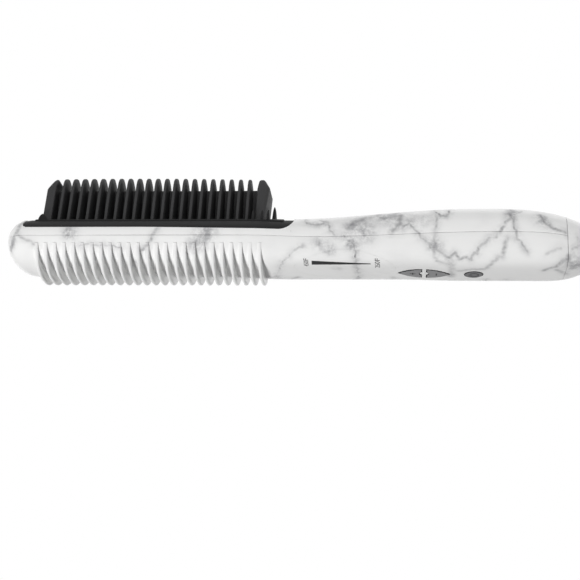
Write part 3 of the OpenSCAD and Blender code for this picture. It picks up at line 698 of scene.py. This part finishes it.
def ribShape():
    power, half, depth = body["roundPower"], sizes["width"][0]/2, sizes["back"][0]
    root, rings = ribs["root"], []
    across, high = ribs["top"]
    section = [(-thick, out) for thick, out in ribs["side"]]
    section += [(-across*cos(t), 1 - high + high*sin(t)) for t in spread(0, pi, fine["ribTop"])]
    section += ribs["side"][::-1]
    for degrees in spread(ribs["from"], 180 - ribs["from"], ribs["steps"]):
        c, s = polar(1, radians(degrees))
        ring = []
        for thick, out in section:
            wide = mix(half - root, half + ribs["flush"], out)
            deep = mix(depth - root, depth + ribs["height"], out)
            ring.append((ribs["first"] + thick*ribs["thick"]/2, wide*signed(c, 2/power),
                         -deep*s**(2/power)))
        rings.append(ring)
    return loft(rings)


backRibs = makePiece("backRibs", ribShape(), marble)
rowOfCopies(backRibs, ribs["count"], ribs["pitch"], marble)

# Marble: veins with their tone and width, drawn along the near side as the distance from
# the nose and the height seen from 20 degrees below; then the smoky patches, as distance,
# height, radius and strength
veins = [
    (0.75, 0.5, [(144.5, 15), (145, 13.5), (146, 12), (150, 11.5), (153.5, 12)]),
    (0.5, 0.5, [(152, 13.5), (154, 13), (156, 12.5), (157, 8.5), (159, 6.5)]),
    (0.7, 0.35, [(163.5, 6), (165, 4.5), (168, 2), (169, -1.5), (169, -4.5), (168.7, -6.5),
        (169.5, -9.5), (170, -12), (169, -14.5)]),
    (0.45, 1.6, [(165.5, 10.5), (168.5, 12.5), (173, 14.5), (180, 16.5)]),
    (0.6, 0.6, [(181, 14.8), (183, 14.5)]),
    (0.4, 1.2, [(190, 16), (189.5, 12), (187, 9), (185, 8)]),
    (0.55, 0.45, [(190.5, 10), (192, 11), (194, 12.3), (195, 10.7), (197, 8.8), (198.5, 7.3),
        (199, 5.2), (200.5, 5.2), (202, 3.4), (203.5, 2.5), (204, 0.5)]),
    (0.75, 0.5, [(205.8, 18.2), (207.5, 16.4), (208.5, 15.7), (211.5, 15.2), (212, 16.5),
        (212.7, 18.5)]),
    (0.4, 0.6, [(206.8, 16), (206.2, 11.3), (205.7, 6.5), (205.5, 1.8), (206, 0.2), (208, -0.7),
        (210, -2.5), (211.5, -4.2)]),
    (0.3, 0.7, [(205.3, 0.5), (205.5, -2.8), (207, -5.5), (209, -6.4), (212, -7)]),
    (0.5, 0.6, [(211.5, -4.2), (212.4, -4.6), (213.6, -3.1), (215.1, -1.6), (216.6, -3.1),
        (217.2, -4.9), (219, -4), (221.1, -4), (222.3, -4.9), (223.5, -3.1), (224.1, -2),
        (225.3, -2.2), (225.9, 0.5), (227.1, 2), (228.7, 2.6), (229.8, 4), (231.4, 5.6),
        (233.8, 5.6), (234.7, 7.4), (236.2, 8.5), (237.7, 10.7), (238.9, 12.8), (240, 13.6),
        (241, 14.8), (240.7, 17.2), (241.3, 18.6)]),
    (0.25, 1.5, [(213.5, -6), (214, -13)]),
    (0.6, 0.4, [(241.5, 18.2), (242.5, 17.2), (245, 17.2), (246.4, 17.7)]),
    (0.55, 0.5, [(241.9, 14.5), (242.5, 13.6), (242.2, 11.3), (242.8, 9.5), (243.4, 8.3),
        (242.8, 6.5), (243.7, 4.7), (245.2, 3.4), (246.4, 1.3), (247.3, 0.1), (248.5, -1.5)]),
    (0.4, 0.9, [(217, -10.3), (223.5, -9.6), (226.7, -9.4), (229.8, -9.1), (231.6, -7),
        (233.7, -5.2), (234.9, -4), (237, -4), (237.3, -0.7), (238.2, 2.3), (239.1, 5.9)]),
    (0.6, 0.6, [(254.6, 15.7), (256.1, 13), (258.2, 11.2), (260.3, 9.7), (262.7, 8.8),
        (264.2, 8.8), (266.2, 7.6)]),
    (0.5, 1.0, [(256.6, -10), (258.8, -9.1), (262.1, -7.9), (264.2, -5.5), (266.6, -4.9),
        (267, -3.1)]),
    (0.45, 1.0, [(262.4, -9.7), (265.7, -10.9), (268.4, -12.1)]),
    (0.25, 0.7, [(257.2, -2.3), (260, -0.5), (263.8, 0.4)]),
    (0.35, 0.6, [(269, 0.4), (271.4, 1), (273.8, 1.9)]),
    (0.3, 0.6, [(271.4, 5.5), (274, 4)]),
    (0.35, 0.5, [(129, -13.5), (131.4, -11.2), (133.3, -8.1), (135.3, -5.3), (137.7, -3.4),
        (139.3, -1), (141.6, 0.5), (144, 1.4)]),
    (0.5, 0.9, [(8.5, 12.4), (7, 8.4), (6, 6.4), (5.3, 3.3), (3.5, -0.7)]),
    (0.35, 0.7, [(8, 6.8), (10, 5), (13, 4), (16, 2.5)]),
    (0.4, 0.4, [(38, 1.7), (44, 2.1), (50.5, 1.7), (56.5, 1.3), (58.5, 0.5)]),
    (0.5, 0.7, [(75.5, 10), (73.8, 8), (73, 6.4), (71.7, 3.3), (69.7, 1.3), (68.4, -0.3)])]
patches = [(170, 11, 7, 0.6), (186, 16, 7, 0.8), (213.6, -12.4, 2.5, 0.7), (241.5, 16, 3.2, 0.7),
           (271, -7.5, 5, 0.9), (144, 1.5, 1.2, 0.6), (152, 3, 3.5, 0.55), (157, 0, 3, 0.6),
           (3.5, 2.5, 2.5, 0.9), (33, 8, 3.5, 1.0), (64.5, -6, 1.5, 0.6), (97, 6, 5, 0.55),
           (100, 9, 4, 0.5), (93, 2, 4, 0.5), (160, -9, 3, 0.35), (255, 14, 4, 0.45),
           (200, 14, 5, 0.4), (207, 2, 3, 0.4), (174, 6, 4, 0.45), (166, 2, 3, 0.4)]
view = {"rise": 20.0, "around": (97, 297), "headTurn": 138.0, "gripTurn": 400.0, "farLimit": 262.0,
        "step": 0.4, "jag": 0.75, "jagDensity": 0.55, "bare": 50.0, "margin": 8.0, "batch": 4000,
        "haze": 2.0, "veinSmoke": 0.8, "patchSmoke": 1.3, "halvings": 20, "climb": 1.5,
        "grid": 1500, "ends": 0.1, "least": 0.05}


def nearSide(x, up):
    # angle round the body at which its near side lies at the height up
    (low, high), rise = view["around"], radians(view["rise"])
    for _ in range(view["halvings"]):
        middle = (low + high)/2
        _, y, z = skinPoint(x, middle)
        low, high = (middle, high) if z*cos(rise) - y*sin(rise) > up else (low, middle)
    return low


def veinPath(points, far):
    # closely spaced points of a vein; on the far side it is turned end for end
    path = []
    for (x0, up0), (x1, up1) in zip(points, points[1:]):
        count = max(1, round((abs(x1 - x0) + view["climb"]*abs(up1 - up0))/view["step"]))
        for i in range(count + 1):
            x = mix(x0, x1, i/count)
            if far:
                x = (view["headTurn"] if x < body["headEnd"] else view["gripTurn"]) - x
            angle = nearSide(x, mix(up0, up1, i/count))
            if far and angle > view["farLimit"]:
                continue
            x, y, z = skinPoint(x, angle)
            spot = Vector((x, -y if far else y, z))
            path.append(spot + view["jag"]*noise.noise_vector(spot*view["jagDensity"]))
    return np.array(path)


def ontoSkin(spots):
    # moves points from the ribs and the walls out or in to the body's smooth outline
    grid = spread(view["ends"], body["length"] - view["ends"], view["grid"])
    wide, top, back, seam, power = (np.interp(spots[:, 0], grid, [at(x) for x in grid])
                                    for at in (halfWidth, topAt, backAt, seamAt, backPower))
    lift = spots[:, 2] - seam
    above = lift > 0
    power = np.where(above, body["roundPower"], power)
    reach = np.where(above, top - seam, seam - back)
    size = ((np.abs(spots[:, 1])/wide)**power + (np.abs(lift)/reach)**power)**(1/power)
    size = np.maximum(size, view["least"])
    return np.stack([spots[:, 0], spots[:, 1]/size, seam + lift/size], axis=1)


def paintMarble(pieces):
    drawn = [(tone, width, veinPath(points, far)) for far in (False, True)
             for tone, width, points in veins]
    drawn = [vein for vein in drawn if len(vein[2])]
    smoky = [(veinPath([(x, up), (x, up)], far), radius, strength) for far in (False, True)
             for x, up, radius, strength in patches]
    corner = np.array([cadBox[0].x, 0, cadBox[0].z + seamLift/1000])
    for piece in pieces:
        flat = np.empty(len(piece.data.vertices)*3)
        piece.data.vertices.foreach_get("co", flat)
        spots = ontoSkin((flat.reshape(-1, 3) - corner)*1000)
        gap, tone, smoke = (np.full(len(spots), value) for value in (view["bare"], 0.0, 0.0))
        for veinTone, width, path in drawn:
            x, reach = spots[:, 0], view["margin"]
            close = np.nonzero((x > path[:, 0].min() - reach) & (x < path[:, 0].max() + reach))[0]
            for part in np.array_split(close, max(1, len(close)//view["batch"])):
                away = np.sqrt(((spots[part, None, :] - path[None, :, :])**2).sum(2).min(1))/width
                nearer = away < gap[part]
                gap[part[nearer]], tone[part[nearer]] = away[nearer], veinTone
                smoke[part] += view["veinSmoke"]*veinTone*np.exp(-(away*width/view["haze"])**2)
        for path, radius, strength in smoky:
            if len(path):
                away = ((spots - path[0])**2).sum(1)
                smoke += view["patchSmoke"]*strength*np.exp(-away/radius**2)
        for name, values in (("veinGap", gap), ("veinTone", tone), ("smoke", smoke)):
            piece.data.attributes.new(name, "FLOAT", "POINT").data.foreach_set("value", values)


paintMarble([frontShell, backShell, backRibs, endCap, scaleWindow])
print("marble drawn")

# Comb: blades across the head, the base and the end blocks
comb = {"firstBlade": 25.0, "pitch": 4.57, "blades": 21, "foot": 9.4, "height": 27.4, "tip": 0.3,
        "crown": 0.9, "halfSpan": 12.8, "narrowing": 0.48, "dome": (0.004, 11), "thick": 3.0,
        "thinning": 0.1, "pointing": 0.564, "pointFrom": (0.663, 1.06), "edge": 1.3,
        "start": 17.0, "end": 126.7, "noseCorner": 0.5, "neckCorner": 1.6, "curveFrom": 26.0,
        "plainStep": 1.2, "curveStep": 0.5, "last": 0.6, "topSteps": (0.3, 0.1, 0), "round": 2.5,
        # a quarter of a blade's section: how far it has thinned, and its share of the span
        "section": [(0, 0), (0, 0.3), (0.35, 0.62), (0.8, 0.86)], "soft": 0.16, "closed": 0.6}


def bladeHalf(share):
    return comb["halfSpan"]*(1 - comb["narrowing"]*share)*domed(share, *comb["dome"])


def bladeThick(share):
    pointed = comb["pointing"]*ease(*comb["pointFrom"], share)
    return comb["thick"]*(1 - comb["thinning"]*share - pointed)


def bladeShape():
    rings = []
    for i in range(fine["blade"] + 1):
        share = sin(pi/2*i/fine["blade"])
        half, thick = bladeHalf(share), bladeThick(share)/2
        edge = min(comb["edge"]/2, 0.8*thick)
        soft = comb["soft"]*edge
        quarter = [(mix(thick, edge, thin), out*half) for thin, out in comb["section"]]
        quarter += [(edge, half - 0.35*edge), (edge - soft*0.4, half - soft), (edge - 2*soft, half)]
        ring = [(x, -y) for x, y in quarter] + [(-x, -y) for x, y in quarter[::-1]]
        ring += [(-x, y) for x, y in quarter[1:]] + [(x, y) for x, y in quarter[:0:-1]]
        z = comb["foot"] + share*(comb["height"] - comb["tip"])
        rings.append([(comb["firstBlade"] + x, y, z) for x, y in ring])
    shut = comb["closed"]
    rings.append([(mix(comb["firstBlade"], x, shut), y*shut, comb["foot"] + comb["height"])
                  for x, y, z in rings[-1]])
    return loft(rings)


combBlades = makePiece("combBlades", bladeShape(), coating)
rowOfCopies(combBlades, comb["blades"], comb["pitch"], coating, comb["crown"]/comb["height"],
            toFrame(0, 0, comb["foot"]).z)


# End blocks: inset of the outer and of the inner face from the block's end, at heights
noseBlock = {"outer": [(9.4, 0), (28.4, 0), (33.8, 2.9), (34.3, 3.4)],
             "inner": [(9.4, 4.2), (30, 4.2), (33.2, 4.9), (34.1, 4.8), (34.3, 4.5)]}
neckBlock = {"outer": [(9.4, 2.0), (18, 1.1), (28.8, 0), (32.8, 2.2), (33.4, 2.8)],
             "inner": [(9.4, 6.2), (28.6, 6.2), (30.9, 5.9), (32.9, 5.6), (33.4, 5.1)]}


def along(line, z):
    for (z0, a), (z1, b) in zip(line, line[1:]):
        if z <= z1:
            return mix(a, b, (z - z0)/(z1 - z0))
    return line[-1][1]


def blockShape(outerX, block, turn, widest):
    foot, top, start, last = comb["foot"], block["outer"][-1][0], comb["curveFrom"], comb["last"]
    levels = steps(foot, start, comb["plainStep"])
    levels += steps(start + last, top - last, comb["curveStep"])
    levels += [top - down for down in comb["topSteps"]]
    rings = []
    for z in levels:
        half = bladeHalf((z - foot)/comb["height"])
        outer, inner = along(block["outer"], z), along(block["inner"], z)
        corner = min(widest, (inner - outer)/comb["round"])
        near, far, side = outer + corner, inner - corner, half - corner
        ring = []
        for x, y, angle in ((far, side, 0), (near, side, 90), (near, -side, 180), (far, -side, 270)):
            for t in spread(angle, angle + 90, fine["corner"]):
                dx, dy = polar(corner, radians(t))
                ring.append((outerX + turn*(x + dx), y + dy, z))
        rings.append(ring)
    return loft(rings)


combBlocks = makePiece("combBlocks", joined([
    blockShape(comb["start"], noseBlock, 1, comb["noseCorner"]),
    blockShape(comb["end"], neckBlock, -1, comb["neckCorner"])]), coating)


# Base, with the flange that the frame holds down, and the ridge that joins the blades
base = {"low": 5.5, "flangeTop": 7.2, "flange": 14.2, "reach": 1.6, "half": 12.6, "top": 9.6,
        "edge": 0.1}
ridge = {"start": 20.0, "end": 121.7, "top": 30.0, "half": 1.5, "edge": 0.35, "step": 4}


def baseShape():
    half, edge, a, b = base["half"], base["edge"], comb["start"], comb["end"]
    rings = []
    for side, reach, z in ((base["flange"], base["reach"], base["low"]),
                           (base["flange"], base["reach"], base["flangeTop"]),
                           (half, 0, base["flangeTop"]), (half, 0, base["top"] - edge),
                           (half - edge, -edge, base["top"])):
        rings.append([(a - reach, -side, z), (b + reach, -side, z), (b + reach, side, z),
                      (a - reach, side, z)])
    return loft(rings)


def ridgeShape():
    half, top, edge = ridge["half"], ridge["top"], ridge["edge"]
    outline = [(-half, comb["foot"]), (-half, top - edge), (edge*0.3 - half, top - edge*0.3),
               (edge - half, top)]
    outline += [(-y, z) for y, z in outline[::-1]]
    return loft([[(x, y, z) for y, z in outline]
                 for x in steps(ridge["start"], ridge["end"], ridge["step"])])


combBase = makePiece("combBase", baseShape(), coating)
combRidge = makePiece("combRidge", ridgeShape(), coating)
print("comb made")


# Buttons
def padShape(outline, centre):
    # a pad whose face follows the back, with a rounded border
    def face(x, y):
        power = backPower(x)
        return backAt(x)*(1 - (abs(y)/halfWidth(x))**power)**(1/power) - buttons["proud"]

    size = sum(hypot(x - centre, y) for x, y in outline)/len(outline)
    border = quarterRound(buttons["edge"], fine["edge"])
    levels = [(1, None)] + [(1 - sunk/size, down) for down, sunk in border]
    inner = levels[-1][0]
    levels += [(inner*(1 - i/buttons["rings"]), 0) for i in range(1, buttons["rings"])]
    rings = []
    for k, down in levels:
        ring = [(mix(centre, x, k), y*k) for x, y in outline]
        rings.append([(x, y, buttons["deep"] if down is None else face(x, y) + down)
                      for x, y in ring])
    return loft(rings)


def paintedGapShade(piece):
    # painted shade: the pad's side and rounded border get the black ink finish, standing for the shade
    # in the gap round the button; its face stays grey
    piece.data.materials.append(ink)
    for face in piece.data.polygons:
        if abs(face.normal.z) < buttons["flat"]:
            face.material_index = 1


# Signs on the buttons: a plus, a minus, and a ring with a bar
sign = {"width": 0.55, "sink": 0.05, "high": 0.25, "plusX": 5.4, "plus": 2.6, "minusX": 5.8,
        "minus": 2.8, "radius": 2.2, "reach": 140, "barX": 1.6, "bar": 1.9}


def stroke(points):
    # a raised printed line on the face of a button, along points in X and Y
    rings = []
    for i, (x, y) in enumerate(points):
        before, after = points[max(i - 1, 0)], points[min(i + 1, len(points) - 1)]
        dx, dy = after[0] - before[0], after[1] - before[1]
        long = sqrt(dx*dx + dy*dy)
        sx, sy = -dy/long*sign["width"]/2, dx/long*sign["width"]/2
        low = backAt(x) - buttons["proud"] - sign["sink"]
        high = low + sign["high"]
        rings.append([(x - sx, y - sy, low), (x + sx, y + sy, low), (x + sx, y + sy, high),
                      (x - sx, y - sy, high)])
    return loft(rings)


def bar(x, longX, longY=0):
    # a straight stroke whose middle is at x
    return stroke([(x - longX/2*k, -longY/2*k) for k in (1, 0.33, -0.33, -1)])


pairX, powerX = buttons["pairX"], buttons["powerX"]
ring = [polar(sign["radius"], radians(a)) for a in range(-sign["reach"], sign["reach"] + 1, 10)]
for nodeName, tone, centre, outline, marks in (
        ("hotter_button", rubberGrey, pairX - buttons["middle"], halfLens(-1, 0),
         [bar(pairX - sign["plusX"], sign["plus"]), bar(pairX - sign["plusX"], 0, sign["plus"])]),
        ("cooler_button", rubberGrey, pairX + buttons["middle"], halfLens(1, 0),
         [bar(pairX + sign["minusX"], 0, sign["minus"])]),
        ("power_button", rubberDark, powerX, circle(powerX, buttons["powerWidth"]/2, fine["oval"]),
         [stroke([(powerX + x, y) for x, y in ring]), bar(powerX - sign["barX"], sign["bar"])])):
    pad = makePiece(nodeName + "Pad", padShape(outline, centre), tone)
    # painted shade: the pad's rim is made black to stand for the shade of the gap round it
    paintedGapShade(pad)
    handOver(pad, nodeName, nodeName)
    handOver(makePiece(nodeName + "Mark", joined(marks), ink), nodeName)
print("buttons made")

# Gland that the cord comes out of. A piece turned round the long axis: distance from the nose
# and radius of pin, barrel, flange, journal and collar, then the tapering collar with its fine
# grooves, its rounded mouth and its bore
gland = {"inside": [(255.6, 0.02), (255.6, 1.6), (255.8, 1.8), (261.0, 1.8), (261.0, 3.6),
                    (276.4, 3.6), (276.4, 6.6), (277.9, 6.6), (277.9, 5.1), (282.6, 5.1),
                    (282.6, 5.4), (282.7, 5.54), (282.9, 5.6)],
         "taper": ((283.1, 5.58), (285.8, 4.35)), "parts": 24, "groove": 0.22, "grooves": (6, 0.34),
         "end": 286.5, "mouth": 3.85, "rounding": 0.5, "flare": 0.8,
         "bore": [(286.5, 2.9), (286.2, 2.6), (263.0, 2.6), (263.0, 0.02)], "around": 64}


def glandShape():
    (startX, startR), (endX, endR) = gland["taper"]
    around, profile, (waves, share) = gland["around"], list(gland["inside"]), gland["grooves"]
    for k in spread(0, 1, gland["parts"]):
        sunk = gland["groove"] if abs(waves*k % 2 - 1) < share else 0
        profile.append((mix(startX, endX, k), mix(startR, endR, k) - sunk))
    for back, sunk in quarterRound(gland["rounding"], fine["corner"]):
        profile.append((gland["end"] - back, gland["mouth"] - sunk + gland["flare"]*back))
    return loft([[(x, *polar(r, 2*pi*i/around)) for i in range(around)]
                 for x, r in profile + gland["bore"]])


swivelGland = makePiece("swivelGland", glandShape(), nylon, weld=0)
handOver(swivelGland, "cord_swivel", "swivel_gland")

# Printed scale on the oval window: a wedge and a figure at each end, laid on the surface
scale = {"wedgeStart": 148.2, "wedgeEnd": 175.9, "wedgeThick": 3.2, "wedgeThin": 0.7,
         "wedgeFrom": 12.2, "wedgeTo": 11.3, "wedgeParts": 60, "figureSize": 3.3,
         # of each figure: its place along the tool, where it starts, and how far it is stretched
         "hot": (146.7, 8.9, 0.98), "cool": (180.2, 7.2, 1.25),
         "ink": 0.05, "longest": 0.45, "merge": 0.001, "cuts": 6, "curves": 3}


@lru_cache(None)
def aroundBack(x):
    # the back's half outline at x, from its middle line up to the near seam, with its lengths
    points = [Vector(skinPoint(x, 270 - i)) for i in range(91)]
    reach = [0.0]
    for a, b in zip(points, points[1:]):
        reach.append(reach[-1] + (b - a).length)
    return points, reach


def onBack(x, far, out):
    # a point far along the outline from the back's middle line, out above the surface
    points, reach = aroundBack(round(x, 1))
    i = next((k for k, r in enumerate(reach) if k and r >= far), len(reach) - 1)
    share = (far - reach[i - 1])/(reach[i] - reach[i - 1])
    spot, way = points[i - 1].lerp(points[i], share), points[i] - points[i - 1]
    outward = Vector((0, -way.z, way.y)).normalized()
    return x, spot.y + outward.y*out, spot.z + outward.z*out


def layOn(name, flat):
    # gives a flat outline mesh, drawn in millimetres, its thickness and its place on the back
    work = bmesh.new()
    work.from_mesh(flat)
    bpy.data.meshes.remove(flat)
    bmesh.ops.triangulate(work, faces=work.faces)
    bmesh.ops.remove_doubles(work, verts=work.verts, dist=scale["merge"])
    for _ in range(scale["cuts"]):
        long = [e for e in work.edges if e.calc_length() > scale["longest"]]
        if not long:
            break
        bmesh.ops.subdivide_edges(work, edges=long, cuts=1)
        bmesh.ops.triangulate(work, faces=work.faces)
    spots = [v.co.copy() for v in work.verts]
    faces = [[v.index for v in f.verts] for f in work.faces]
    rim = [[e.verts[0].index, e.verts[1].index] for e in work.edges if len(e.link_faces) == 1]
    work.free()
    count = len(spots)
    points = [onBack(c.x, c.y, out) for out in (scale["ink"], -scale["ink"]) for c in spots]
    solid = faces + [[i + count for i in f[::-1]] for f in faces]
    solid += [[a, b, b + count, a + count] for a, b in rim]
    return makePiece(name, (points, solid), ink, weld=0)


def figure(name, text, x, start, stretch):
    # the figure stands across the tool and reads with the head upwards
    curve = bpy.data.curves.new(name, "FONT")
    curve.body, curve.size, curve.resolution_u = text, scale["figureSize"], scale["curves"]
    letters = addObject(name + "Text", curve)
    flat = meshOf(letters)
    bpy.data.objects.remove(letters)
    for v in flat.vertices:
        v.co = (x - v.co.y, start + v.co.x*stretch, 0)
    return layOn(name, flat)


def wedge():
    points, count = [], scale["wedgeParts"]
    for side in (-0.5, 0.5):
        for k in spread(0, 1, count):
            line = mix(scale["wedgeFrom"], scale["wedgeTo"], k)
            points.append((mix(scale["wedgeStart"], scale["wedgeEnd"], k),
                           line + side*mix(scale["wedgeThick"], scale["wedgeThin"], k), 0))
    flat = bpy.data.meshes.new("wedge")
    flat.from_pydata(points, [], [(i, i + 1, count + 2 + i, count + 1 + i) for i in range(count)])
    return layOn("scaleWedge", flat)


for piece in (wedge(), figure("hotFigure", "450F", *scale["hot"]),
              figure("coolFigure", "250F", *scale["cool"])):
    handOver(piece, "housing")
print("scale printed")

# Who moves with what, and which CAD piece each one stands for
for slotName, nodeName, pieces in (
        ("marble_shell", "front_shell", [frontShell]),
        ("marble_shell", "back_shell", [backShell, backRibs]),
        ("marble_shell", "end_cap", [endCap]), ("marble_shell", "scale_window", [scaleWindow]),
        ("black_nylon", "comb_cover", [combCover]),
        ("black_nylon", "guard_frame", [guardFrame, combGuards]),
        ("coated_aluminium", "heated_comb", [combBlades, combBlocks, combBase, combRidge])):
    for piece in pieces:
        handOver(piece, "housing", nodeName)

for part in frame["record"]["subparts"]:
    finish = innerFinishes.get(part["material_slot"])
    shown = frame["nodes"][part["node"]]
    if finish and not shown.hide_render:
        shown.data.materials.clear()
        shown.data.materials.append(finish)

# Camera, lights, floor and sky
look = {"distance": 630.0, "rise": 20.0, "turn": 5.232, "focal": 1310.4, "drop": 40.6,
        "roll": 1.788, "footX": 191.5, "footZ": 1.05, "sensor": 36, "pixels": 580,
        "near": 0.01, "glow": (-0.2, 0.4, 0.07, 0.68)}
ground = {"reach": 9.0, "level": -0.75, "tone": (0.86, 0.86, 0.86), "roughness": 0.7}


def placeCamera():
    rise, far = radians(look["rise"]), look["distance"]
    tip = atan(look["drop"]/look["focal"])
    eye = toFrame(look["footX"], -far*cos(rise), -far*sin(rise) - look["footZ"])
    aim = Euler((pi/2 + rise - tip, 0, radians(look["turn"]))).to_matrix().to_4x4()
    camera = addObject("camera", bpy.data.cameras.new("camera"))
    camera.matrix_world = (Matrix.Translation(eye) @ aim
                           @ Matrix.Rotation(radians(look["roll"]), 4, "Z"))
    camera.data.sensor_width = look["sensor"]
    camera.data.lens = look["focal"]*look["sensor"]/look["pixels"]
    camera.data.clip_start = look["near"]
    scene.camera = camera


def addLight(name, size, watts, at, target=(0, 0, 0.015), glints=False):
    light = bpy.data.lights.new(name, "AREA")
    light.shape, light.size, light.energy = "DISK", size, watts
    lamp = addObject(name, light)
    lamp.location = at
    lamp.visible_glossy = glints
    lamp.rotation_euler = (Vector(target) - Vector(at)).to_track_quat("-Z", "Y").to_euler()


placeCamera()
addLight("keyLight", size=0.3, watts=17.0, at=(-0.6, -0.7, -1.0))
addLight("fillLight", size=0.3, watts=1.5, at=(0.05, -0.6, 0.75))
addLight("skyLight", size=0.9, watts=0.6, at=(0.0, 0.1, 0.9), glints=True)
addLight("sideLight", size=0.4, watts=3.6, at=(1.3, -0.35, -0.15))

# the floor is only seen: it sends no light up to the tool and keeps none away
corners = [(x*ground["reach"], y*ground["reach"], ground["level"])
           for x, y in ((-1, -1), (1, -1), (1, 1), (-1, 1))]
floorMesh = bpy.data.meshes.new("floor")
floorMesh.from_pydata(corners, [], [(0, 1, 2, 3)])
floor = addObject("floor", floorMesh)
floorMesh.materials.append(newFinish("paleFloor", ground["tone"], ground["roughness"])[0])
floor.visible_diffuse = floor.visible_shadow = False

# white wherever it is seen, also in glints; as light it is dim from below and brighter from above
world = bpy.data.worlds.new("studio")
scene.world = world
world.use_nodes = True
sky = world.node_tree
ray = sky.nodes.new("ShaderNodeLightPath").outputs
seen = maths(sky, "MAXIMUM", ray["Is Camera Ray"],
             maths(sky, "MAXIMUM", ray["Is Glossy Ray"], ray["Is Transmission Ray"]))
place = sky.nodes.new("ShaderNodeTexCoord").outputs["Generated"]
upward = node(sky, "ShaderNodeSeparateXYZ", i0=place).outputs[2]
glow = remap(sky, upward, *look["glow"])
backdrop = sky.nodes["Background"]
sky.links.new(remap(sky, seen, 0.0, 1.0, glow, 1.0), backdrop.inputs["Strength"])
backdrop.inputs["Color"].default_value = (1, 1, 1, 1)
scene.view_settings.view_transform = "Standard"
print("camera and lights set")
